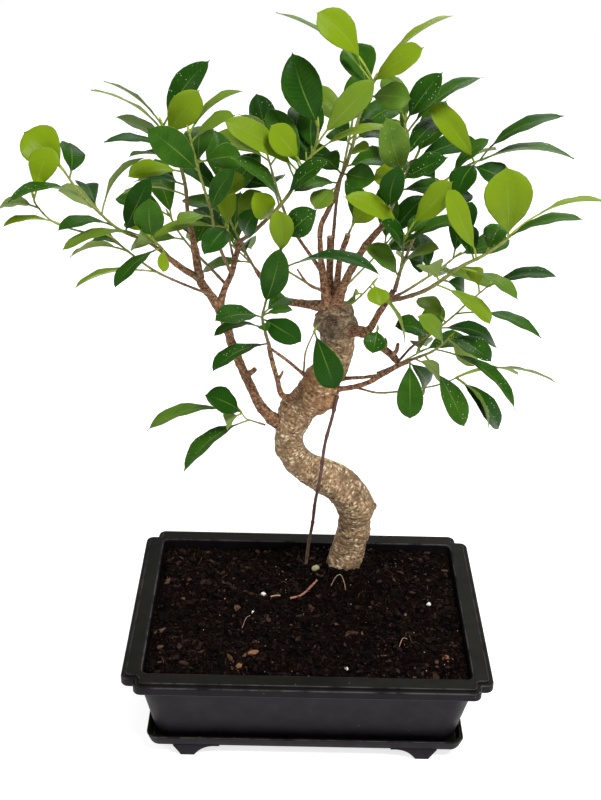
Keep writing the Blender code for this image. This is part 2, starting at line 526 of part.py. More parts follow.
def make_tray():
    width, depth = wall_size(TRAY_TOP)
    width += 2 * (TRAY_GAP_X + TRAY_WALL)
    depth += 2 * (TRAY_GAP_Y + TRAY_WALL)
    low_width, low_depth = width - 2 * TRAY_FLARE, depth - 2 * TRAY_FLARE
    corner = BASE_CORNER
    levels = [
        (rounded_rectangle(low_width, low_depth, corner), TRAY_TOP - TRAY_HEIGHT),
        (rounded_rectangle(width, depth, corner), TRAY_TOP),
    ]
    tray = as_part(open_box("drip_tray", levels, TRAY_WALL), PLASTIC)
    feet = new_collection("feet", OPERANDS)
    for i in (-1, 1):
        for j in (-1, 1):
            foot = plate(f"foot_{i}_{j}", (foot_profile(i),), -FOOT_DEPTH / 2, FOOT_DEPTH)
            foot.data.transform(Matrix.Rotation(math.pi / 2, 4, "X"))
            x = i * (width / 2 - FOOT_INSET)
            y = j * (low_depth / 2 - FOOT_DEPTH / 2)
            foot.data.transform(Matrix.Translation((x * MM, y * MM, 0)))
            as_operand(foot, feet)
    combine(tray, "UNION", feet)
    return tray


def soil_height(x, y):
    """Level soil, raised in a round mound about the trunk, with gentle unevenness."""
    spread = ((x - TREE_X) ** 2 + (y - TREE_Y) ** 2) / MOUND_SPREAD**2
    place = Vector((x / UNEVEN_LENGTH, y / UNEVEN_LENGTH, 0.0))
    uneven = UNEVEN_HEIGHT * noise.noise(place)
    return SOIL_LEVEL + SOIL_MOUND * math.exp(-spread) + uneven


def make_soil():
    """A grid with the soil's height, its rim run down to the pot's floor."""
    top_width, top_depth = (side - 2 * WALL - 2 * GAP for side in wall_size(SOIL_LEVEL - 8))
    top_width = min(top_width, RIM_WIDTH - 2 * RIM_LEDGE - 2 * GAP)
    top_depth = min(top_depth, RIM_DEPTH - 2 * RIM_LEDGE - 2 * GAP)
    floor = pot_bottom() + WALL + SOIL_CLEARANCE
    low_width, low_depth = (side - 2 * WALL - 2 * SOIL_CLEARANCE for side in wall_size(floor))
    bm = bmesh.new()
    bmesh.ops.create_grid(bm, x_segments=16, y_segments=12, size=0.5)
    for vert in bm.verts:
        x, y = 2 * vert.co.x, 2 * vert.co.y
        at_corner = min(abs(x), abs(y)) > 0.99
        pull = 1.0 - SOIL_CORNER_PULL * at_corner
        vert.co.x, vert.co.y = x * pull * top_width / 2, y * pull * top_depth / 2
        vert.co.z = soil_height(vert.co.x, vert.co.y)
    sides = bmesh.ops.extrude_face_region(bm, geom=list(bm.faces))
    for vert in (item for item in sides["geom"] if isinstance(item, bmesh.types.BMVert)):
        vert.co.x *= low_width / top_width
        vert.co.y *= low_depth / top_depth
        vert.co.z = floor
    bmesh.ops.scale(bm, vec=(MM, MM, MM), verts=bm.verts)
    return as_part(object_of("soil", bm), SOIL)


# ---------------------------------------------------------------------------
# The tree


def seen(x, z, back):
    """The place in metres of a point of the drawing, with the trunk's foot in the soil."""
    def drawn(x, z, back):
        share = (PLANE + back - EYE.y) / (PLANE - EYE.y)
        return EYE + (Vector((x, PLANE, z)) - EYE) * share

    foot = drawn(29, 103, 10)
    grown = (drawn(x, z, back) - foot) * (TREE_HEIGHT / DRAWN_HEIGHT)
    return (grown + Vector((TREE_X, TREE_Y, soil_height(TREE_X, TREE_Y)))) * MM


def tree_size(length):
    """A length of the drawing in metres."""
    return length * TREE_HEIGHT / DRAWN_HEIGHT * MM


def limb(name, points, resolution):
    places = [seen(x, z, back) for x, z, back, _ in points]
    return tube(name, places, [tree_size(radius) for *_, radius in points], resolution)


def make_trunk():
    trunk = as_part(limb("trunk", TRUNK, BARK_SIDES), BARK)
    branches = new_collection("branches", OPERANDS)
    for i, points in enumerate(BRANCHES):
        as_operand(limb(f"branch_{i + 1:02}", points, BRANCH_SIDES), branches)
    combine(trunk, "UNION", branches)
    return trunk


def evaluated_tree(obj):
    return BVHTree.FromObject(obj, bpy.context.evaluated_depsgraph_get())


def mesh_tree(obj):
    """A tree of the mesh itself, of an object that isn't in the view layer yet."""
    bm = bmesh.new()
    bm.from_mesh(obj.data)
    made = BVHTree.FromBMesh(bm)
    bm.free()
    return made


def clear_start(points, radius, wood):
    """The path from where a rod of this radius has left the wood by the gap."""
    step = 0.4 * MM
    need = radius + GAP * MM
    first = 0
    while first < len(points) - 2 and wood.find_nearest(points[first + 1])[3] < need:
        first += 1
    start, after = points[first], points[first + 1]
    direction = (after - start).normalized()
    while wood.find_nearest(start)[3] < need and (after - start).length > 2 * step:
        start = start + direction * step
    return [start, *points[first + 1 :]]


def along(points, share):
    """The point at this share of the path's length."""
    lengths = [(b - a).length for a, b in zip(points, points[1:])]
    left = share * sum(lengths)
    for a, b, length in zip(points, points[1:], lengths):
        if left <= length:
            return a.lerp(b, left / length)
        left -= length
    return points[-1].copy()


def leaf_frame(base, tip, turn):
    """The leaf's direction, its sideways direction and its upper face's normal."""
    ahead = (tip - base).normalized()
    to_eye = (seen(EYE.x, EYE.z, EYE.y - PLANE + 1.0) - base).normalized()
    face = (to_eye - ahead * to_eye.dot(ahead)).normalized()
    up = ahead.cross(face) * (1 if ahead.x <= 0 else -1)
    normal = face * math.cos(math.radians(turn)) + up * math.sin(math.radians(turn))
    return ahead, normal.cross(ahead), normal


# share of the blade's length and of its breadth
BLADE = ((0.0, 0.10), (0.34, 0.92), (0.68, 0.86), (1.0, 0.03))


def leaf_strip(base, tip, breadth, turn, stalk):
    """The left and right points of a bowed leaf, from its stalk to its tip, and its normal."""
    ahead, side, normal = leaf_frame(base, tip, turn)
    length = (tip - base).length
    stalk = min(stalk, 0.5 * length)
    stations = [(0.0, STALK_BREADTH * MM)]
    stations += [
        (stalk + share * (length - stalk), max(width * breadth, LEAF_THICKNESS * MM))
        for share, width in BLADE
    ]
    strip = []
    for reach, width in stations:
        share = reach / length
        bow = 4 * LEAF_ARCH * length * share * (1 - share)
        middle = base + ahead * reach + normal * bow
        strip.append((middle - side * (width / 2), middle + side * (width / 2)))
    return strip, normal


def envelope(strip, normal):
    """A tree of the leaf's upper and lower face, held off by the gap, for overlap tests."""
    lift = normal * (LEAF_THICKNESS / 2 + GAP) * MM
    points = [point + sign * lift for pair in strip for point in pair for sign in (1, -1)]
    quads = []
    for i in range(0, 4 * len(strip) - 4, 4):
        quads += [(i, i + 2, i + 6, i + 4), (i + 1, i + 3, i + 7, i + 5)]
        quads += [(i, i + 1, i + 5, i + 4), (i + 2, i + 3, i + 7, i + 6)]
    return BVHTree.FromPolygons(points, quads)


def leaf(name, strip):
    """The strip as a surface, made solid by Solidify."""
    bm = bmesh.new()
    edges = [[bm.verts.new(point) for point in pair] for pair in strip]
    for near, far in zip(edges, edges[1:]):
        bm.faces.new((near[0], near[1], far[1], far[0]))
    made = object_of(name, bm)
    blade = made.modifiers.new("blade", "SOLIDIFY")
    blade.thickness = LEAF_THICKNESS * MM
    blade.offset = 0.0
    return made


def nearer_and_further(step, most):
    """0, then -1, 1, -2, 2 ... times the step."""
    yield 0.0
    for i in range(1, most + 1):
        yield -i * step
        yield i * step


def free_strip(base, tip_at, breadth, turn, stalk, others, siblings):
    """A leaf's strip, its tip moved nearer or further until the leaf passes nothing.

    Leaves of one twig may meet at their stalks. Where there is no such place, the leaf
    keeps clear of the other shoots only. It comes with its tree and its blade's tree.
    """
    x, z, back = tip_at
    for heed_siblings in (True, False):
        for shift in nearer_and_further(LEAF_SHIFT, LEAF_SHIFTS):
            tip = seen(x, z, back + shift)
            strip, normal = leaf_strip(base, tip, breadth, turn, stalk)
            room, blade_room = envelope(strip, normal), envelope(strip[2:], normal)
            if any(room.overlap(other) for other in others):
                continue
            if heed_siblings and any(blade_room.overlap(blade) for blade in siblings):
                continue
            return strip, room, blade_room
    return strip, room, blade_room


def make_twig(name, radius, path, wood):
    """The twig as a node, the points it runs through and its tree."""
    places = clear_start([seen(*point) for point in path], tree_size(radius), wood)
    last = len(places) - 1
    radii = [tree_size(radius) * (1 - TWIG_TAPER * i / last) for i in range(last + 1)]
    twig = as_part(tube(f"shoot_{name}", places, radii, TWIG_SIDES), FOLIAGE)
    return twig, places, mesh_tree(twig)


def make_leaves(name, twig, places, leaves, taken):
    """Joins the leaves to the twig, and returns their trees for the next shoots' leaves."""
    blades = new_collection(f"leaves_{name}", OPERANDS)
    rooms, siblings = [], []
    for i, (share, x, z, back, breadth, turn, stalk) in enumerate(leaves):
        base = along(places, min(share, LAST_LEAF))
        strip, room, blade_room = free_strip(
            base, (x, z, back), tree_size(breadth), turn, tree_size(stalk), taken, siblings
        )
        as_operand(leaf(f"{name}_leaf_{i + 1}", strip), blades)
        rooms.append(room)
        siblings.append(blade_room)
    combine(twig, "UNION", blades)
    return rooms


def make_tree():
    trunk = make_trunk()
    wood = evaluated_tree(trunk)
    points = [seen(*point) for point in HANGING_ROOT]
    radius = tree_size(ROOT_RADIUS)
    points = clear_start(points, radius, wood)
    root = as_part(tube("hanging_root", points, [radius] * len(points), TWIG_SIDES), ROOT)
    twigs = [make_twig(name, radius, path, wood) for name, radius, path, _ in SHOOTS]
    rooms = [wood, mesh_tree(root)]
    for (name, _, _, leaves), (twig, places, own) in zip(SHOOTS, twigs):
        others = [tree for *_, tree in twigs if tree is not own]
        rooms += make_leaves(name, twig, places, leaves, rooms + others)


# ---------------------------------------------------------------------------
# What lies on the soil, and the sockets that the wood stands in


def make_bits():
    for kind, places in BITS.items():
        look = CHIP if kind == "bark_chip" else PERLITE
        for i, (x, y, length, breadth, height, heading) in enumerate(places):
            bm = bmesh.new()
            bmesh.ops.create_icosphere(bm, subdivisions=1, radius=0.5)
            bmesh.ops.scale(bm, vec=(length * MM, breadth * MM, height * MM), verts=bm.verts)
            turned = Matrix.Rotation(math.radians(heading), 3, "Z")
            bmesh.ops.rotate(bm, matrix=turned, verts=bm.verts)
            made = as_part(object_of(f"{kind}_{i + 1}", bm), look)
            highest = max(
                soil_height(x + dx * length / 3, y + dy * length / 3)
                for dx in (-1, 0, 1) for dy in (-1, 0, 1)
            )
            made.location = (x * MM, y * MM, (highest + height / 2 + 2 * GAP) * MM)


def make_dead_twig():
    rise = DEAD_TWIG_RADIUS + 3 * GAP
    points = [Vector((x, y, soil_height(x, y) + rise)) * MM for x, y in DEAD_TWIG]
    radii = [DEAD_TWIG_RADIUS * MM] * len(points)
    as_part(tube("dead_twig", points, radii, TWIG_SIDES), CHIP)


def cut_sockets(soil):
    """Sockets in the soil for the trunk's foot and the root's end."""
    sockets = new_collection("sockets", OPERANDS)
    foot = [seen(*point[:3]) for point in TRUNK[:3]]
    radii = [tree_size(point[3]) + GAP * MM for point in TRUNK[:3]]
    foot[0] = foot[0] - Vector((0, 0, GAP * MM))
    as_operand(tube("trunk_socket", foot, radii, BARK_SIDES), sockets)
    end = [seen(*point) for point in HANGING_ROOT[-3:]]
    end[-1] = end[-1] - Vector((0, 0, 2 * GAP * MM))
    radii = [tree_size(ROOT_RADIUS) + GAP * MM] * 3
    as_operand(tube("root_socket", end, radii, TWIG_SIDES), sockets)
    combine(soil, "DIFFERENCE", sockets)


def centre_on_origin():
    """Moves the whole so that the origin is under the middle of its bounding box."""
    bpy.context.view_layer.update()
    graph = bpy.context.evaluated_depsgraph_get()
    low, high = Vector((1e9,) * 3), Vector((-1e9,) * 3)
    for obj in PARTS.objects:
        if obj.type != "MESH":
            continue
        shape = obj.evaluated_get(graph)
        for vert in shape.data.vertices:
            place = shape.matrix_world @ vert.co
            low = Vector(map(min, low, place))
            high = Vector(map(max, high, place))
    CENTRE.location = (-(low.x + high.x) / 2, -(low.y + high.y) / 2, -low.z)


make_pot()
make_tray()
earth = make_soil()
make_tree()
cut_sockets(earth)
make_bits()
make_dead_twig()
centre_on_origin()
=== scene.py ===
"""The looks of a ficus bonsai in a rectangular plastic pot on a footed drip tray.

Shapes are worked out in millimetres, with the pot's middle at x = y = 0 and the feet on
z = 0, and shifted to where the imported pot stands. +X is to the right, +Y to the back.
The tree is drawn as a table of paths, and each shoot is one grown piece: a twig with its
leaves, their stalks and its end bud.
"""

import itertools
import math

import bmesh
import bpy
import numpy as np
from mathutils import Matrix, Vector, noise


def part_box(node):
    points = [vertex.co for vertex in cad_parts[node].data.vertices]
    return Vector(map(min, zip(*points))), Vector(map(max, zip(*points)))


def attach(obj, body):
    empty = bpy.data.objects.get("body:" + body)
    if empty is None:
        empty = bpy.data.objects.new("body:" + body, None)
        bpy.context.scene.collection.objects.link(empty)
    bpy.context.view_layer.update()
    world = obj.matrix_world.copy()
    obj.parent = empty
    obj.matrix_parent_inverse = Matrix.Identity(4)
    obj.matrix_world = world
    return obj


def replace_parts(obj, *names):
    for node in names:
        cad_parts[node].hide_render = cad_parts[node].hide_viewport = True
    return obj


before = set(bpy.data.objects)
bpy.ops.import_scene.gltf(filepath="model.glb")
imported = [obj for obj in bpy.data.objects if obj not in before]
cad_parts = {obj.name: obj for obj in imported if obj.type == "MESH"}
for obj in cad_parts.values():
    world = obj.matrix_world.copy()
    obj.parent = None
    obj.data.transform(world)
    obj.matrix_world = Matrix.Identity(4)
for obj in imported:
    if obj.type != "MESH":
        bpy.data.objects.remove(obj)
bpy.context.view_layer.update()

MM = 0.001

# The pot. Its rim is two crossed rectangles, so each corner has a small square step.
RIM_WIDTH, RIM_DEPTH = 280.0, 207.0
RIM_STEP_X, RIM_STEP_Y = 10.0, 9.5
RIM_TOP, RIM_HEIGHT, RIM_LEDGE = 90.7, 9.0, 15.6
RIM_CORNER = 6.0
LIP_WIDTH, LIP_DROP = 3.6, 1.7  # the lower band round the rim's edge
WALL, WALL_INSET = 4.0, 11.0
BASE_WIDTH, BASE_DEPTH, BASE_CORNER = 238.0, 146.0, 15.0
POT_BOTTOM = 13.0

# The drip tray and its feet.
TRAY_WIDTH, TRAY_DEPTH, TRAY_CORNER = 249.0, 163.0, 9.0
TRAY_TOP, TRAY_BOTTOM, TRAY_FLARE, TRAY_WALL = 20.5, 10.1, 2.5, 2.6
FOOT_INSET, FOOT_WIDTH, FOOT_DEPTH = 32.0, 10.4, 16.0
FOOT_OUTER_SLOPE, FOOT_BRACKET = 6.0, 20.0

# The soil, and where the tree stands in it.
SOIL_LEVEL, SOIL_MOUND, MOUND_SPREAD = 84.2, 15.0, 46.0
UNEVEN_HEIGHT, UNEVEN_LENGTH = 0.8, 34.0
SOIL_FLOOR = 19.0
TREE_X, TREE_Y = 30.0, 40.0

LEAF_ARCH = 0.11  # how far a blade bows, as a share of its length

CAMERA = (-18.5, -817.6, 712.7)
YAW, PITCH, ROLL = 0.6, 28.02, 1.53  # in degrees: turned right, pitched down, right side raised
CRUMB_COUNT, FIBRE_COUNT = 7600, 760
TRUNK_AROUND = 110

# The tree is drawn in a front view, from EYE. A point's x and z are where it shows on
# the upright plane y = PLANE, and its third number is how far behind that plane it lies.
EYE = np.array([-18.5, -817.5, 708.0])
PLANE = 30.0

# x, z, back, radius
TRUNK = (
    (28, 90, 10, 16.5), (29, 103, 10, 15.2), (31.5, 118, 9, 14.2), (34.5, 135, 8, 13.6),
    (36, 150, 8, 13.4), (36, 160, 7, 14), (33.5, 170, 6, 15), (26, 180, 5, 15.2),
    (12, 189.5, 4, 13.8), (-1, 196, 3, 12.4), (-10, 203, 3, 12), (-15.5, 212, 3, 11.6),
    (-18, 222, 3, 11.6), (-17.5, 232, 2, 12), (-13.5, 243, 2, 13), (-8, 254, 2, 13),
    (-2, 262, 1, 14), (3, 270, 0, 14), (7.5, 279, 0, 13.6), (12.5, 290, 0, 12.8),
    (16, 300, 0, 12.2), (17, 309, 0, 11.5), (15, 317, 0, 12.5), (13.5, 325, 0, 14),
    (13, 333, 0, 13), (11, 340, 0, 8.5),
)
BRANCHES = (
    # a pruned stub, and the swelling that the hanging root grows from
    ((42, 165, 6, 7), (48, 163.5, 6, 4.5), (53, 162, 6, 2.2)),
    ((4, 266, -1, 11), (11, 264, -3, 8), (16, 262, -5, 4)),
    # the long left branch, its two upper arms and its right arm
    ((-16, 232, 2, 7), (-26, 238, 0, 6), (-34, 244, -2, 4.8), (-42, 254, -3, 4),
     (-47, 266, -4, 3.6), (-53, 280, -5, 3.5), (-58, 292, -6, 3.4), (-63, 306, -6, 3.4),
     (-67, 320, -6, 3.3), (-72, 333, -6, 3.7), (-77, 342, -6, 3.2), (-84, 352, -6, 3.1),
     (-88, 361, -6, 2.8)),
    ((-86, 357, -6, 2.8), (-88, 372, -4, 2.9), (-91, 390, 0, 2.1), (-94, 406, 3, 1.9)),
    ((-86, 357, -6, 2.6), (-99, 365, -9, 2.2), (-109, 373, -12, 1.9)),
    ((-72, 334, -6, 3), (-68, 349, -4, 2.3), (-63, 361, -2, 2.1), (-60, 373, 0, 2),
     (-57, 384, 2, 2)),
    # the dark branch that leaves the head to the left
    ((8, 337, 2, 5), (-8, 338.5, 8, 3.2), (-20, 340, 14, 2.9), (-30, 344, 18, 2.9),
     (-36, 352, 20, 2.2), (-45, 364, 22, 1.5)),
    # the upright branches on the head, two of them sawn off
    ((10, 332, 0, 6), (6, 350, 0, 3.4), (3.5, 364, -1, 2.6), (1.5, 380, -2, 2),
     (1, 398, -2, 1.9), (5, 409, -1, 1.7), (10, 420, 0, 1.6)),
    ((11, 334, 4, 5), (9.5, 352, 8, 2.6), (8.5, 368, 10, 2.4), (8, 392, 12, 2.2)),
    ((14, 334, 2, 5), (14.5, 356, 4, 2.6), (16, 375, 6, 2.2), (21, 394, 8, 2.1)),
    ((13, 332, -2, 6), (19, 354, -5, 3.2), (26, 370, -9, 2.7), (33, 384, -12, 2.5),
     (41, 395, -15, 2.3), (46, 401, -17, 2.2)),
    ((11, 338, 8, 3), (10, 362, 16, 1.5), (10, 385, 18, 1.3), (11, 405, 18, 1.2)),
    ((3.5, 364, -1, 1.8), (-5, 376, 4, 1.3), (-12, 386, 8, 1.2), (-18, 395, 12, 1.1)),
    # the right branch below the head, with its rising arm
    ((16, 316, -2, 7), (30, 317.5, -8, 4.3), (38, 315, -10, 3.8), (45, 309, -12, 3.4),
     (52, 303, -12, 2.8), (58, 298, -12, 2.7), (63, 292, -12, 2.2)),
    ((36, 315, -10, 3.2), (41, 321, -8, 2.6), (46, 332, -5, 2.3), (51, 341, -2, 2.2),
     (56, 351, 2, 2)),
    # the low right branch, and the thinner one that joins it
    ((8, 268, -3, 6), (20, 268.5, -7, 2.3), (32, 271, -10, 2), (42, 275, -12, 1.9),
     (52, 282, -14, 1.9), (62, 289, -16, 1.9), (70, 293, -18, 1.8)),
    ((12, 276, -3, 3), (27, 278, -6, 1.4), (38, 279, -10, 1.3), (51, 281.5, -14, 1.3)),
    # the left stem that rises from the trunk, and the one that crosses to it
    ((-12, 258, -3, 5), (-24, 262, -9, 2.3), (-28, 275, -11, 1.9), (-32, 290, -13, 1.8),
     (-35, 303, -14, 1.7)),
    ((-2, 276, -3, 3), (-10, 282, -8, 1.4), (-20, 291, -11, 1.2), (-33, 301, -14, 1.1)),
)
HANGING_ROOT = (
    (18, 262, -12), (15, 247, -13), (11, 224, -14), (8.5, 204, -15), (6.5, 186, -15),
    (4.5, 168, -10), (2.5, 150, -2), (0.5, 130, 8), (-1, 116, 15), (-2.5, 104, 20),
)

DARK, MID, LIGHT = 0, 1, 2  # how old a leaf is: old leaves are dark

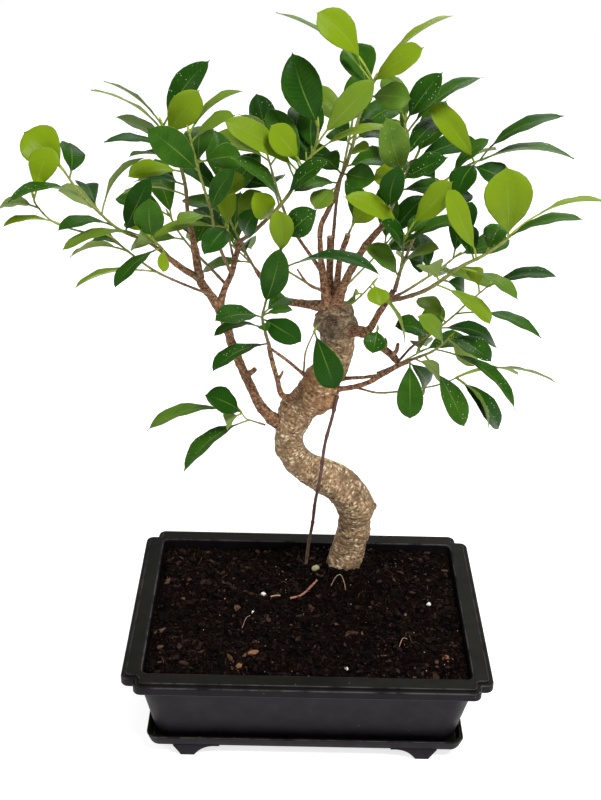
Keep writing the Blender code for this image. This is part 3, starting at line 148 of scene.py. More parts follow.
# name, twig radius, the twig's path (x, z, back), then its leaves:
# share of the twig's length where it grows, tip's x, z and back, breadth, turn, stalk,
# age. A turn of 0 shows the leaf's whole face to the front, 90 only its edge.
SHOOTS = (
    ("far_left_low", 1.0,
     ((-80, 345, -10), (-100, 353, -14), (-120, 363, -18), (-139, 378, -22),
      (-152, 389, -24), (-170, 391, -26), (-190, 398, -28), (-201, 410, -28),
      (-203, 417, -28)),
     ((1.0, -187, 453, -22, 20, 10, 7, LIGHT), (0.93, -228, 408, -42, 18, 120, 6, MID),
      (0.8, -227, 393, -48, 17, 78, 6, LIGHT), (0.45, -180, 371, -40, 17, 100, 8, MID),
      (0.5, -164, 384, -8, 15, 60, 5, DARK), (0.27, -178, 347, -45, 18, 80, 12, LIGHT))),
    ("far_left_high", 1.3,
     ((-110, 374, -13), (-118, 381, -15), (-126, 386, -16), (-139, 391, -17),
      (-148, 397, -18), (-156, 405, -18), (-165, 414, -18), (-172, 423, -17),
      (-177, 431, -16), (-180, 436, -15)),
     ((1.0, -206, 463, -14, 29, 8, 5, LIGHT), (0.93, -175, 456, 12, 20, 30, 5, DARK),
      (0.74, -221, 412, -62, 19, 76, 8, DARK), (0.6, -186, 421, 20, 19, 125, 6, MID),
      (0.64, -166, 424, 46, 17, 30, 5, DARK), (0.58, -122, 447, -2, 17, 100, 8, MID),
      (0.42, -188, 391, -48, 18, 70, 6, DARK), (0.36, -119, 433, -30, 19, 25, 5, DARK))),
    ("left_fan", 1.1,
     ((-111, 377, -15), (-115, 382, -20), (-120, 387, -26)),
     ((1.0, -121, 418, -40, 21, 5, 6, DARK), (0.95, -136, 401, -6, 17, 20, 5, LIGHT),
      (0.5, -130, 384, -52, 15, 160, 5, MID), (0.9, -186, 376, -52, 19, 74, 8, MID),
      (0.3, -149, 347, -54, 18, 60, 6, DARK), (0.2, -113, 361, -38, 9, 20, 4, LIGHT))),
    ("upper_left", 1.5,
     ((-94, 408, 3), (-95, 426, 4), (-98, 440, 5), (-102, 452, 6), (-107, 462, 6),
      (-110, 470, 6)),
     ((1.0, -77, 515, 10, 19, 20, 8, DARK), (0.9, -84, 495, -12, 22, 0, 6, LIGHT),
      (0.96, -149, 499, 0, 15, 100, 10, MID), (0.85, -158, 493, -22, 17, 95, 8, LIGHT),
      (0.75, -143, 475, 20, 17, 120, 6, DARK), (0.66, -151, 457, -14, 18, 75, 6, DARK),
      (0.55, -134, 447, 26, 15, 80, 6, DARK), (0.45, -136, 432, -22, 19, 50, 6, LIGHT),
      (0.3, -131, 429, 14, 18, 70, 6, DARK), (0.18, -139, 420, 30, 16, 82, 10, MID))),
    ("upper_left_inner", 1.3,
     ((-64, 364, -6), (-70, 378, -9), (-75, 395, -12), (-77, 408, -14), (-81, 422, -15),
      (-85, 436, -15), (-89, 452, -13), (-92, 466, -11)),
     ((0.74, -121, 468, -38, 23, 5, 6, DARK), (1.0, -54, 495, -4, 17, 75, 7, MID),
      (0.93, -60, 478, -24, 17, 60, 6, MID), (0.8, -55, 448, 8, 20, 15, 6, DARK),
      (0.76, -82, 470, 24, 22, 15, 6, DARK), (0.46, -60, 441, -36, 15, 20, 6, DARK),
      (0.55, -53, 434, -24, 16, 30, 6, LIGHT), (0.42, -101, 398, -32, 17, 60, 6, MID))),
    ("left_inner", 1.0,
     ((-62, 376, 3), (-64, 386, 0), (-66, 397, -6)),
     ((1.0, -119, 388, -22, 18, 70, 8, MID), (0.95, -83, 375, -46, 18, 15, 5, DARK),
      (0.9, -71, 430, -16, 16, 30, 6, LIGHT), (0.5, -90, 410, 20, 17, 50, 6, DARK))),
    ("centre_left", 1.6,
     ((-56, 387, 1), (-48, 393, -6), (-40, 401, -12), (-30, 412, -16), (-20, 426, -18),
      (-14, 440, -18), (-6, 453, -16), (-3, 465, -14), (-3, 472, -13)),
     ((1.0, -22, 522, -8, 27, 5, 6, DARK), (0.8, 48, 472, -30, 17, 70, 12, LIGHT),
      (0.72, -36, 472, -34, 20, 20, 13, LIGHT), (0.68, -68, 474, -36, 20, 35, 8, LIGHT),
      (0.82, -4, 488, 8, 20, 20, 5, DARK), (0.62, -58, 479, 0, 17, 110, 6, MID),
      (0.7, -38, 484, 0, 20, 10, 6, DARK), (0.76, -17, 488, 26, 20, 10, 6, DARK),
      (0.85, 35, 505, -26, 19, 20, 18, MID), (0.3, -47, 424, -36, 18, 15, 4, LIGHT),
      (0.06, -43, 412, -26, 17, 30, 4, DARK), (0.42, -63, 448, -38, 18, 60, 6, DARK),
      (0.5, 6, 448, -32, 17, 45, 6, DARK))),
    ("node_twig", 0.9,
     ((0, 351, -6), (-12, 358, -14), (-27, 369, -24), (-27, 380, -28), (-24, 391, -31)),
     ((1.0, -2, 412, -44, 20, 10, 5, DARK), (0.75, -30, 412, -46, 17, 10, 6, LIGHT),
      (0.55, 47, 362, -60, 21, 70, 10, DARK))),
    ("left_stem", 1.4,
     ((-35, 305, -15), (-38, 316, -18), (-40, 327, -20), (-38, 338, -23)),
     ((1.0, -27, 383, -38, 20, 0, 5, DARK), (0.66, -76, 323, -44, 19, 45, 5, DARK),
      (0.4, -77, 310, -36, 17, 70, 5, DARK), (0.02, -78, 280, -48, 19, 55, 5, DARK),
      (0.75, -22, 343, 8, 17, 20, 5, DARK), (0.7, -17, 333, -26, 12, 60, 4, DARK),
      (0.62, -10, 307, -52, 19, 15, 5, DARK), (0.45, -35, 316, -44, 9, 20, 4, DARK))),
    ("trunk_leaf", 0.8,
     ((-8, 287, -10), (-7, 300, -14), (-1, 317, -19)),
     ((1.0, 16, 268, -26, 22, 0, 4, DARK),)),
    ("low_left", 0.8,
     ((-41, 237, -8), (-47, 239, -11), (-52, 241, -13), (-56, 247, -15)),
     ((1.0, -129, 228, -38, 20, 60, 18, MID), (0.95, -84, 261, -34, 21, 30, 4, DARK),
      (0.45, -101, 192, -44, 21, 55, 10, DARK), (0.9, -67, 235, -34, 14, 150, 4, MID))),
    ("dark_left", 1.1,
     ((-46, 366, 23), (-51, 375, 25), (-56, 386, 30), (-62, 398, 36), (-67, 412, 42),
      (-70, 426, 46)),
     ((1.0, -74, 468, 56, 22, 20, 6, DARK), (0.85, -104, 448, 62, 20, 40, 6, DARK),
      (0.8, -42, 452, 58, 22, 30, 6, DARK), (0.6, -98, 416, 60, 20, 50, 6, DARK),
      (0.5, -42, 425, 52, 20, 30, 6, MID), (0.3, -88, 389, 52, 18, 50, 6, MID))),
    ("top", 1.5,
     ((10, 422, 0), (13, 433, -2), (18, 447, -4), (22, 462, -5), (24, 475, -5),
      (28, 488, -6), (32, 498, -8), (34, 504, -9)),
     ((0.96, 66, 527, -30, 19, 35, 5, LIGHT), (1.0, 84, 548, 12, 18, 80, 12, LIGHT),
      (0.98, -7, 548, -28, 23, 22, 27, LIGHT), (0.97, -33, 547, 16, 18, 80, 14, MID),
      (0.9, 18, 528, 26, 25, 5, 6, DARK), (0.86, 60, 492, -20, 20, 15, 5, MID),
      (0.12, -19, 424, -22, 17, 50, 5, DARK), (0.08, -4, 412, -20, 17, 30, 5, MID),
      (0.2, 0, 450, 16, 19, 20, 4, DARK), (0.2, 39, 434, -22, 19, 20, 5, DARK),
      (0.35, 33, 456, -26, 13, 60, 4, LIGHT), (0.45, 8, 470, 14, 20, 10, 5, DARK),
      (0.5, 40, 470, 24, 20, 30, 5, DARK))),
    ("top_right", 1.3,
     ((47, 403, -17), (51, 414, -16), (54, 426, -13), (56, 440, -10), (57, 455, -8),
      (57, 468, -8), (57, 477, -8)),
     ((1.0, 80, 511, -14, 18, 20, 6, DARK), (0.98, 40, 508, 6, 18, 25, 6, MID),
      (0.5, 43, 480, -34, 22, 10, 5, MID), (0.15, 55, 446, -38, 17, 10, 6, DARK),
      (0.85, 108, 508, 14, 18, 60, 12, DARK), (0.35, 38, 442, -12, 17, 15, 6, LIGHT),
      (0.75, 66, 497, 18, 17, 70, 8, MID), (0.6, 88, 480, 26, 18, 40, 6, DARK),
      (0.4, 88, 452, -20, 18, 40, 6, DARK))),
    ("right_high", 1.3,
     ((57, 353, 3), (60, 366, 6), (65, 382, 10), (70, 398, 14), (75, 414, 16),
      (82, 429, 17), (93, 440, 17), (105, 448, 16), (112, 451, 15)),
     ((0.95, 71, 490, 8, 19, 25, 6, LIGHT), (1.0, 165, 483, 0, 18, 60, 12, DARK),
      (0.98, 176, 453, -12, 18, 75, 6, DARK), (0.8, 122, 458, 40, 17, 75, 6, MID),
      (0.78, 116, 466, 20, 17, 55, 6, DARK), (0.97, 97, 424, -6, 20, 25, 6, DARK),
      (0.9, 134, 436, 6, 19, 30, 6, DARK), (0.7, 62, 449, 34, 18, 40, 6, DARK),
      (0.55, 108, 425, 30, 19, 40, 6, DARK))),
    ("right_front", 1.2,
     ((58, 354, -2), (60, 366, -8), (61, 380, -14), (61, 391, -18)),
     ((1.0, 16, 422, -32, 17, 40, 5, LIGHT), (0.98, 93, 435, -42, 20, 25, 22, LIGHT),
      (0.95, 81, 408, -4, 17, 50, 5, DARK), (0.88, 108, 406, -30, 18, 60, 6, DARK),
      (0.75, 43, 404, -38, 16, 50, 5, DARK), (0.65, 76, 374, 2, 18, 10, 5, DARK),
      (0.2, 33, 384, -24, 18, 40, 6, MID), (0.4, 88, 384, -32, 17, 70, 6, MID))),
    ("right_long", 1.7,
     ((55, 343, -7), (66, 346, -12), (80, 352, -16), (92, 361, -20), (104, 371, -24),
      (118, 379, -26), (130, 388, -28), (137, 395, -28)),
     ((1.0, 129, 447, -34, 33, 5, 5, LIGHT), (0.98, 188, 409, -46, 17, 65, 4, DARK),
      (0.72, 89, 430, -48, 17, 25, 12, LIGHT), (0.7, 97, 405, -8, 18, 30, 4, DARK),
      (0.8, 130, 404, -8, 17, 15, 4, DARK), (0.94, 205, 422, -22, 17, 75, 28, LIGHT),
      (0.58, 148, 346, -50, 17, 60, 14, MID), (0.4, 80, 371, -52, 19, 160, 5, MID),
      (0.36, 130, 325, -52, 17, 50, 12, LIGHT), (0.42, 108, 350, 6, 17, 40, 6, DARK))),
    ("right_low", 1.0,
     ((66, 297, -10), (72, 305, -8), (80, 312, -6), (92, 322, -4), (103, 333, -2),
      (109, 340, 0), (116, 347, 2), (125, 356, 4)),
     ((0.62, 169, 315, -34, 18, 65, 22, DARK), (1.0, 176, 364, -12, 18, 60, 6, DARK),
      (0.9, 111, 371, 12, 14, 30, 5, LIGHT), (0.42, 137, 305, 18, 18, 50, 6, DARK),
      (0.3, 58, 322, -26, 18, 40, 4, DARK), (0.5, 74, 345, 22, 16, 30, 5, MID))),
    ("low_right_front", 1.2,
     ((71, 294, -19), (80, 298, -21), (88, 302, -23), (95, 308, -25), (100, 314, -26)),
     ((0.02, 75, 243, -36, 20, 0, 4, DARK), (0.12, 95, 277, -44, 15, 130, 4, MID),
      (0.35, 118, 237, -46, 18, 20, 18, DARK), (0.6, 156, 253, -54, 18, 60, 16, DARK),
      (1.0, 134, 294, -56, 20, 45, 5, DARK), (0.95, 121, 290, -28, 17, 150, 6, MID),
      (0.8, 74, 331, -40, 15, 40, 5, MID))),
    ("low_right_back", 0.9,
     ((36, 269, -8), (48, 266, -10), (62, 267, -12), (78, 270, -13), (92, 273, -13),
      (104, 278, -13), (109, 281, -12)),
     ((1.0, 137, 235, -30, 17, 78, 6, MID), (0.98, 145, 236, -2, 18, 35, 8, DARK),
      (1.0, 184, 278, -10, 16, 85, 24, MID), (0.97, 155, 284, 14, 15, 80, 24, MID))),
    ("head_right", 0.9,
     ((19, 338, -10), (26, 340, -14), (34, 348, -19), (41, 357, -24)),
     ((1.0, 46, 338, -40, 17, 20, 4, LIGHT), (0.6, 28, 341, -44, 13, 100, 4, MID),
      (0.85, 67, 309, -34, 16, 80, 5, LIGHT))),
    ("heart_leaf", 0.8,
     ((46, 315, -15), (46, 320, -21)),
     ((1.0, 43, 299, -34, 17, 0, 3, DARK),)),
    ("spur", 1.0,
     ((22, 396, 8), (24, 401, 6)),
     ((1.0, 41, 420, -6, 18, 10, 3, LIGHT), (0.9, 18, 435, 30, 17, 30, 5, DARK))),
    # the back of the crown
    ("back_top", 1.2,
     ((11, 407, 18), (12, 421, 26), (15, 440, 38), (18, 458, 48), (20, 472, 54)),
     ((1.0, 26, 512, 62, 22, 10, 6, DARK), (0.9, -14, 498, 70, 21, 30, 6, MID),
      (0.85, 58, 488, 76, 21, 30, 6, DARK), (0.6, -22, 452, 70, 20, 40, 6, DARK),
      (0.55, 54, 445, 80, 20, 40, 6, DARK), (0.95, 22, 480, 100, 21, 70, 6, MID))),
    ("back_left_top", 1.2,
     ((-19, 396, 13), (-24, 407, 24), (-29, 421, 35), (-34, 438, 46), (-38, 452, 54)),
     ((1.0, -46, 494, 60, 21, 15, 6, DARK), (0.9, -78, 462, 76, 20, 40, 6, MID),
      (0.85, -4, 470, 88, 20, 40, 6, DARK), (0.55, -70, 426, 74, 19, 40, 6, DARK),
      (0.6, -34, 430, 96, 20, 60, 6, DARK), (1.0, -48, 470, 98, 20, 60, 6, MID))),
    ("back_right_top", 1.2,
     ((44, 401, -9), (48, 412, 8), (53, 424, 24), (59, 438, 38), (66, 452, 48)),
     ((1.0, 84, 492, 54, 21, 15, 6, DARK), (0.9, 108, 464, 60, 20, 40, 6, DARK),
      (0.85, 42, 478, 66, 20, 30, 6, MID), (0.55, 92, 428, 62, 19, 40, 6, DARK),
      (0.7, 62, 440, 94, 20, 60, 6, DARK))),
    ("back_right", 1.2,
     ((55, 345, 8), (64, 350, 20), (75, 358, 34), (88, 368, 46), (100, 379, 56)),
     ((1.0, 138, 392, 66, 20, 30, 6, DARK), (0.95, 108, 421, 72, 21, 15, 6, DARK),
      (0.7, 128, 357, 66, 19, 50, 6, MID), (0.6, 70, 396, 74, 19, 30, 6, DARK),
      (0.85, 92, 372, 108, 20, 60, 6, DARK))),
    ("back_left", 1.2,
     ((-68, 354, 2), (-77, 364, 16), (-88, 376, 32), (-99, 390, 46), (-107, 405, 56)),
     ((1.0, -146, 416, 66, 20, 40, 6, DARK), (0.95, -116, 447, 70, 21, 15, 6, DARK),
      (0.7, -136, 378, 66, 19, 50, 6, MID), (0.55, -76, 403, 48, 19, 30, 6, DARK),
      (0.85, -96, 388, 106, 20, 60, 6, DARK))),
    ("back_low_left", 1.0,
     ((-30, 347, 24), (-38, 357, 42), (-48, 369, 58), (-60, 381, 72)),
     ((1.0, -80, 404, 118, 19, 40, 6, DARK), (0.95, -56, 424, 92, 20, 20, 6, DARK),
      (0.7, -84, 362, 92, 18, 60, 6, MID), (0.8, -48, 380, 122, 19, 60, 6, DARK))),
    ("back_low_right", 1.0,
     ((50, 284, -6), (58, 288, 12), (68, 294, 28), (80, 302, 42)),
     ((1.0, 118, 308, 56, 19, 40, 6, DARK), (0.9, 92, 341, 62, 19, 20, 6, MID),
      (0.7, 82, 268, 66, 18, 40, 6, DARK), (0.95, 84, 306, 92, 19, 60, 6, DARK))),
    ("back_head", 1.0,
     ((14, 342, 18), (20, 352, 38), (30, 364, 56), (42, 378, 72), (52, 392, 84)),
     ((1.0, 76, 424, 96, 20, 20, 6, DARK), (0.9, 44, 432, 100, 20, 20, 6, DARK),
      (0.8, 84, 384, 96, 19, 40, 6, DARK), (0.9, 56, 380, 132, 20, 60, 6, MID))),
)



# ---------------------------------------------------------------------------
# Where things are


def soil_height(x, y):
    """Level soil, raised in a round mound about the trunk: exp(-(distance / spread)²)."""
    spread = ((x - TREE_X) ** 2 + (y - TREE_Y) ** 2) / MOUND_SPREAD**2
    return SOIL_LEVEL + SOIL_MOUND * np.exp(-spread)


def on_sight_line(points):
    """Each point (x, z, back) on the line from the eye through its place on the plane."""
    x, z, back = np.moveaxis(np.asarray(points, float), -1, 0)
    on_plane = np.stack([x, np.full_like(x, PLANE), z], axis=-1)
    share = (PLANE + back - EYE[1]) / (PLANE - EYE[1])
    return EYE + (on_plane - EYE) * share[..., None]


UNEVEN = UNEVEN_HEIGHT * noise.noise(Vector((TREE_X, TREE_Y, 0.0)) / UNEVEN_LENGTH)
TREE_FOOT = np.array([TREE_X, TREE_Y, soil_height(TREE_X, TREE_Y) + UNEVEN])
DRAWN_FOOT = on_sight_line((29, 103, 10))


def seen(points):
    """The places of drawing points, with the trunk's foot moved into the soil."""
    return on_sight_line(points) - DRAWN_FOOT + TREE_FOOT


pot_low, pot_high = (np.array(corner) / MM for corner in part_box("pot"))
SHIFT = (pot_low + pot_high) / 2
SHIFT[2] = pot_high[2] - RIM_TOP


# ---------------------------------------------------------------------------
# Noise and curves


def scatter(cells, seed):
    """A fixed number from 0 to 1 for each whole-number cell: the fraction of a big sine."""
    wave = np.sin(cells @ np.array([127.1, 311.7, 74.7]) + seed * 57.31) * 43758.5453
    return wave - np.floor(wave)


def ripple(points, seed=0):
    """Smooth noise from -1 to 1: the eight corner numbers of the cell a point lies in,
    blended in each direction with f²(3 - 2f) of its fraction f."""
    base = np.floor(points)
    part = points - base
    part = part * part * (3 - 2 * part)
    total = 0.0
    for corner in itertools.product((0, 1), repeat=3):
        weight = np.prod(np.where(np.array(corner) == 1, part, 1 - part), axis=-1)
        total = total + weight * scatter(base + np.array(corner), seed)
    return 2 * total - 1


def rough(points, octaves, seed=0):
    """Ripples of halving size and height, added up."""
    return sum(ripple(points * 2.0**i, seed + i) * 0.5**i for i in range(octaves))


def through(rows, step):
    """A Catmull-Rom curve through the rows, with a row about every step of its length.
    Between two rows it is the cubic whose slope at each is half the span across it."""
    rows = np.asarray(rows, float)
    padded = np.vstack([2 * rows[0] - rows[1], rows, 2 * rows[-1] - rows[-2]])
    t = np.linspace(0, len(rows) - 1, 12 * len(rows))
    i = np.minimum(t.astype(int), len(rows) - 2)
    f = (t - i)[:, None]
    a, b, c, d = (padded[i + k] for k in range(4))
    curve = 0.5 * (
        2 * b + (c - a) * f + (2 * a - 5 * b + 4 * c - d) * f**2 + (3 * (b - c) + d - a) * f**3
    )
    run = np.insert(np.cumsum(np.linalg.norm(np.diff(curve[:, :3], axis=0), axis=1)), 0, 0)
    even = np.linspace(0, run[-1], max(3, round(run[-1] / step) + 1))
    return np.stack([np.interp(even, run, column) for column in curve.T], axis=1)


def unit(vectors):
    """The same directions, with length 1."""
    return vectors / np.linalg.norm(vectors, axis=-1, keepdims=True)


def turns(count):
    """This many angles, evenly spaced round a full turn."""
    return np.arange(count) * 2 * np.pi / count


def rings(path, radius, around):
    """A ring of points square to the path at each of its rows: centre + radius times
    (cos a · side + sin a · up), with side kept level with the drawing's plane."""
    ahead = unit(np.gradient(path, axis=0))
    side = unit(np.cross(ahead, (0.0, 1.0, 0.02)))
    up = np.cross(side, ahead)
    angle = turns(around)
    spoke = np.cos(angle)[:, None] * side[:, None] + np.sin(angle)[:, None] * up[:, None]
    radius = np.broadcast_to(np.asarray(radius, float).T, (around, len(path))).T
    return path[:, None] + radius[..., None] * spoke


def length_along(path):
    """How far along the path each of its rows is: the spans between rows, added up."""
    return np.insert(np.cumsum(np.linalg.norm(np.diff(path, axis=0), axis=1)), 0, 0)


# ---------------------------------------------------------------------------
# Meshes


class Skin:
    """Gathers grids of points into one mesh. Each point carries marks: named triples of
    numbers that the materials read."""

    def __init__(self):
        self.points, self.marks, self.count = [], {}, 0
        self.faces, self.looks = [], []

    def add_points(self, points, marks):
        """Stores points and their marks, and gives back their numbers in the same shape."""
        flat = points.reshape(-1, 3)
        for name in set(marks) | set(self.marks):
            value = np.broadcast_to(marks.get(name, (0.0, 0.0, 0.0)), points.shape)
            before = self.marks.setdefault(name, [np.zeros((self.count, 3))])
            before.append(value.reshape(-1, 3))
        self.points.append(flat)
        index = self.count + np.arange(len(flat)).reshape(points.shape[:-1])
        self.count += len(flat)
        return index

    def add_faces(self, corners, look):
        """Stores faces, one for each last row of corners, with the number of their finish."""
        self.faces.append(corners.reshape(-1, corners.shape[-1]))
        self.looks.append(np.full(len(self.faces[-1]), look))

    def add_rod(self, grid, look=0, **marks):
        """Rings one after another, each closed on itself, with a point in each end."""
        index = self.add_points(grid, marks)
        after = np.roll(index, -1, axis=1)
        self.add_faces(np.stack([index[:-1], index[1:], after[1:], after[:-1]], -1), look)
        for row, turn in ((0, 1), (-1, -1)):
            ring = index[row]
            at_end = {
                name: np.broadcast_to(value, grid.shape)[row].mean(axis=0)[None]
                for name, value in marks.items()
            }
            middle = self.add_points(grid[row].mean(axis=0)[None], at_end)
            nearby = np.roll(ring, -turn)
            self.add_faces(np.stack([np.broadcast_to(middle, ring.shape), ring, nearby], -1), look)

    def piece(self, name, materials, smooth=True):
        """The gathered mesh as an object in its place, its faces pointing outwards."""
        points = (np.concatenate(self.points) + SHIFT) * MM
        corners = np.concatenate([face.ravel() for face in self.faces])
        sizes = np.concatenate([np.full(len(face), face.shape[1]) for face in self.faces])
        mesh = bpy.data.meshes.new(name)
        mesh.vertices.add(len(points))
        mesh.vertices.foreach_set("co", points.ravel())
        mesh.loops.add(len(corners))
        mesh.loops.foreach_set("vertex_index", corners)
        mesh.polygons.add(len(sizes))
        mesh.polygons.foreach_set("loop_start", np.cumsum(sizes) - sizes)
        mesh.update(calc_edges=True)
        for material in materials:
            mesh.materials.append(material)
        mesh.polygons.foreach_set("material_index", np.concatenate(self.looks))
        for key, values in self.marks.items():
            stored = mesh.attributes.new(key, "FLOAT_VECTOR", "POINT")
            stored.data.foreach_set("vector", np.concatenate(values).ravel())
        tidy = bmesh.new()
        tidy.from_mesh(mesh)
        bmesh.ops.recalc_face_normals(tidy, faces=tidy.faces)
        tidy.to_mesh(mesh)
        tidy.free()
        mesh.polygons.foreach_set("use_smooth", np.full(len(mesh.polygons), smooth))
        mesh.update()
        made = bpy.data.objects.new(name, mesh)
        bpy.context.scene.collection.objects.link(made)
        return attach(made, "root")


# ---------------------------------------------------------------------------
# The wood

# x, z, back, reach, height of each swelling of the trunk's bark
KNOBS = (
    (-22, 251, 0, 8, 3.6), (-17, 267, -3, 6, 2.4), (7, 246, -6, 6, 2.6), (9, 254, -8, 7, 3.2),
    (14, 262, -6, 8, 4.0), (3, 271, -12, 7, 2.6), (-6, 260, -12, 6, 2.2), (19, 284, -6, 6, 2.2),
    (-1, 322, -6, 6, 3.4), (4, 334, -10, 5, 3.2), (20, 329, -8, 6, 3.2), (11, 326, -14, 5, -3.4),
    (26, 322, -2, 6, 3.0), (13, 340, -8, 4, 3.0), (49, 163, 5, 7, 2.2), (-28, 214, 0, 8, 1.6),
    (20, 306, -12, 6, 2.4), (4, 306, -10, 5, 2.2), (24, 298, -8, 5, 2.2), (-4, 246, -11, 5, 2.0),
    (10, 281, -13, 4, 2.2), (-3, 281, -11, 4, 2.0), (12, 272, -12, 4, -2.2),
    (-12, 262, -10, 4, -2.0),
)
SAWN = ((8, 392), (21, 394), (53, 162), (16, 262), (63, 292))  # the ends of pruned branches
FINE_ROOT = ((40, 128, 14, 1.5), (43, 118, 16, 1.4), (45, 110, 18, 1.2), (48, 100, 20, 1.0))
SNAG = ((6, 350, 1, 1.3), (-3, 352, -2, 1.0), (-9, 357, -4, 0.9), (-15, 366, -5, 0.7))
SPURS = (
    # short dead spurs: a hook on the right branch, thorns and old leaf scars
    ((58, 298, -12, 1.8), (61, 302, -14, 1.5), (62, 308, -15, 1.2)),
    ((52, 303, -12, 1.6), (53, 308, -15, 1.2), (52, 312, -16, 0.8)),
    ((-67, 320, -6, 2.2), (-61, 325, -8, 1.5), (-57, 327, -9, 1.1)),
    ((-12, 258, -3, 1.2), (-10, 268, -8, 0.8), (-11, 275, -10, 0.4)),
    ((-28, 275, -11, 1.4), (-25, 280, -14, 1.0), (-24, 283, -15, 0.6)),
    ((-52, 278, -5, 2.6), (-47, 282, -8, 2.0), (-45, 284, -9, 1.7)),
)


def limb_rows(points, step):
    """A limb's curve in the model: x, y, z and radius, a row about every step."""
    rows = np.asarray(points, float)
    return through(np.column_stack([seen(rows[:, :3]), rows[:, 3]]), step)


def unrolled(radius, run, around):
    """Ring points as if the limb were straight: radius · cos a, radius · sin a, run."""
    angle = turns(around)
    return np.stack([
        radius[:, None] * np.cos(angle), radius[:, None] * np.sin(angle),
        np.broadcast_to(run[:, None], (len(run), around)),
    ], axis=-1)


def swelling(drawn_z):
    """How warm the bark's colour is, and how grey, by height: each a bell curve or a
    step on the height at which the point is drawn."""
    warm = np.exp(-(((drawn_z - 276) / 20) ** 2))
    head = np.clip((drawn_z - 309) / 12, 0, 1)
    return warm, head


def add_trunk(skin):
    """The trunk's rings, pushed outwards by slow ripples, by fine wrinkles across it and by
    a bell-shaped swelling height · exp(-(distance / reach)²) at each knob."""
    rows = limb_rows(TRUNK, 1.1)
    path, run = rows[:, :3], length_along(rows[:, :3])
    radius = rows[:, 3] * np.sqrt(np.clip((run[-1] - run) / 5, 0.03, 1))
    flare = 1 + 0.16 * np.exp(-run / 9)
    grid = rings(path, radius * flare, TRUNK_AROUND)
    straight = unrolled(radius, run, TRUNK_AROUND)
    outwards = unit(grid - path[:, None])
    drawn_z = np.interp(run, length_along(seen(np.asarray(TRUNK)[:, :3])),
                        np.asarray(TRUNK)[:, 1])
    warm, head = swelling(drawn_z[:, None])
    push = 1.1 * rough(straight / 13, 3, 1)
    push += 0.34 * ripple(straight * (0.16, 0.16, 0.62), 5)
    push += (1.1 * warm + 1.7 * head) * rough(straight / 5.5, 3, 9)
    push -= 0.5 * np.clip(1 - np.abs(ripple(straight * (0.05, 0.05, 0.28), 14)) * 5, 0, 1)
    for x, z, back, reach, height in KNOBS:
        away = np.linalg.norm(grid - seen((x, z, back)), axis=-1)
        push += height * np.exp(-((away / reach) ** 2))
    grid = grid + outwards * push[..., None]
    wood = np.broadcast_to(np.stack([0 * warm, warm, head], axis=-1), grid.shape)
    # the second number is how far the bark is sunk, kept for painted shade in its hollows
    cut = np.stack([0 * push, np.clip(-push / 2.2, 0, 1), 0 * push], axis=-1)
    skin.add_rod(grid, straight=straight, wood=wood, cut=cut)


def add_branch(skin, points, around=18, red=1.0):
    """A branch's rings: thicker where it leaves the wood, with a slow ripple and a raised
    ring every few millimetres, as old leaf scars leave."""
    rows = limb_rows(points, 1.3)
    path, run = rows[:, :3], length_along(rows[:, :3])
    scars = 0.09 * np.exp(-(((run + 3 * np.sin(run / 7)) % 8.5 - 4.2) / 0.9) ** 2)
    radius = rows[:, 3] * (1 + 0.30 * np.exp(-run / 3.5) + scars)
    grid = rings(path, radius, around)
    straight = unrolled(radius, run + 37 * points[0][0], around)
    outwards = unit(grid - path[:, None])
    push = 0.10 * rows[:, 3, None] * rough(straight / 4, 2, 3)
    grid = grid + outwards * push[..., None]
    share = np.clip(run / 9, 0, 1)[:, None] * np.ones(around) * red
    sawn = any(points[-1][0] == x and points[-1][1] == z for x, z in SAWN)
    cut = np.zeros(grid.shape)
    cut[-1] = 1.0 if sawn else 0.0
    wood = np.stack([share, 0 * share, 0 * share], axis=-1)
    skin.add_rod(grid, straight=straight, wood=wood, cut=cut)


def make_wood(bark):
    """The trunk, its branches and spurs, its snag and its fine root, as one piece."""
    skin = Skin()
    add_trunk(skin)
    for points in BRANCHES:
        add_branch(skin, points)
    for points in SPURS:
        add_branch(skin, points, around=10)
    add_branch(skin, SNAG, around=8)
    add_branch(skin, FINE_ROOT, around=8, red=0.3)
    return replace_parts(skin.piece("trunk_wood", [bark]), "trunk")


def make_root(bark):
    """The hanging root: a thin rod with small knots, down to the soil."""
    path = through(seen(HANGING_ROOT), 1.2)
    run = length_along(path)
    knots = 0.25 * np.exp(-((run % 23 - 11) / 1.6) ** 2) + 0.10 * ripple(
        np.column_stack([run / 3, 0 * run, 0 * run]), 4)
    path = path + 0.35 * np.column_stack([np.sin(run / 9), np.cos(run / 7), 0 * run])
    grid = rings(path, 1.3 * (1 + knots + 0.35 * np.exp(-run / 4)), 12)
    down = np.clip(run / run[-1], 0, 1)[:, None] * np.ones(12)
    marks = np.stack([down, 0 * down, 0 * down], axis=-1)
    skin = Skin()
    skin.add_rod(grid, down=marks)
    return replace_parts(skin.piece("hanging_root_bark", [bark]), "hanging_root")


# ---------------------------------------------------------------------------
# The leaves

TURNS = turns(16)
ACROSS, LIFT = np.cos(TURNS), np.sin(TURNS)
STATIONS = np.array([0, 0.025, 0.07, 0.14, 0.23, 0.34, 0.46, 0.58, 0.69, 0.79, 0.87, 0.925,
                     0.955, 0.975, 1.0])


def leaf_frame(base, tip, turn):
    """The leaf's direction, its sideways direction and its upper face's normal."""
    ahead = unit(tip - base)
    to_eye = unit(seen((EYE[0], EYE[2], EYE[1] - PLANE + 1.0)) - base)
    face = unit(to_eye - ahead * (to_eye @ ahead))
    up = np.cross(ahead, face) * (1 if ahead[0] <= 0 else -1)
    normal = face * math.cos(math.radians(turn)) + up * math.sin(math.radians(turn))
    return ahead, np.cross(normal, ahead), normal


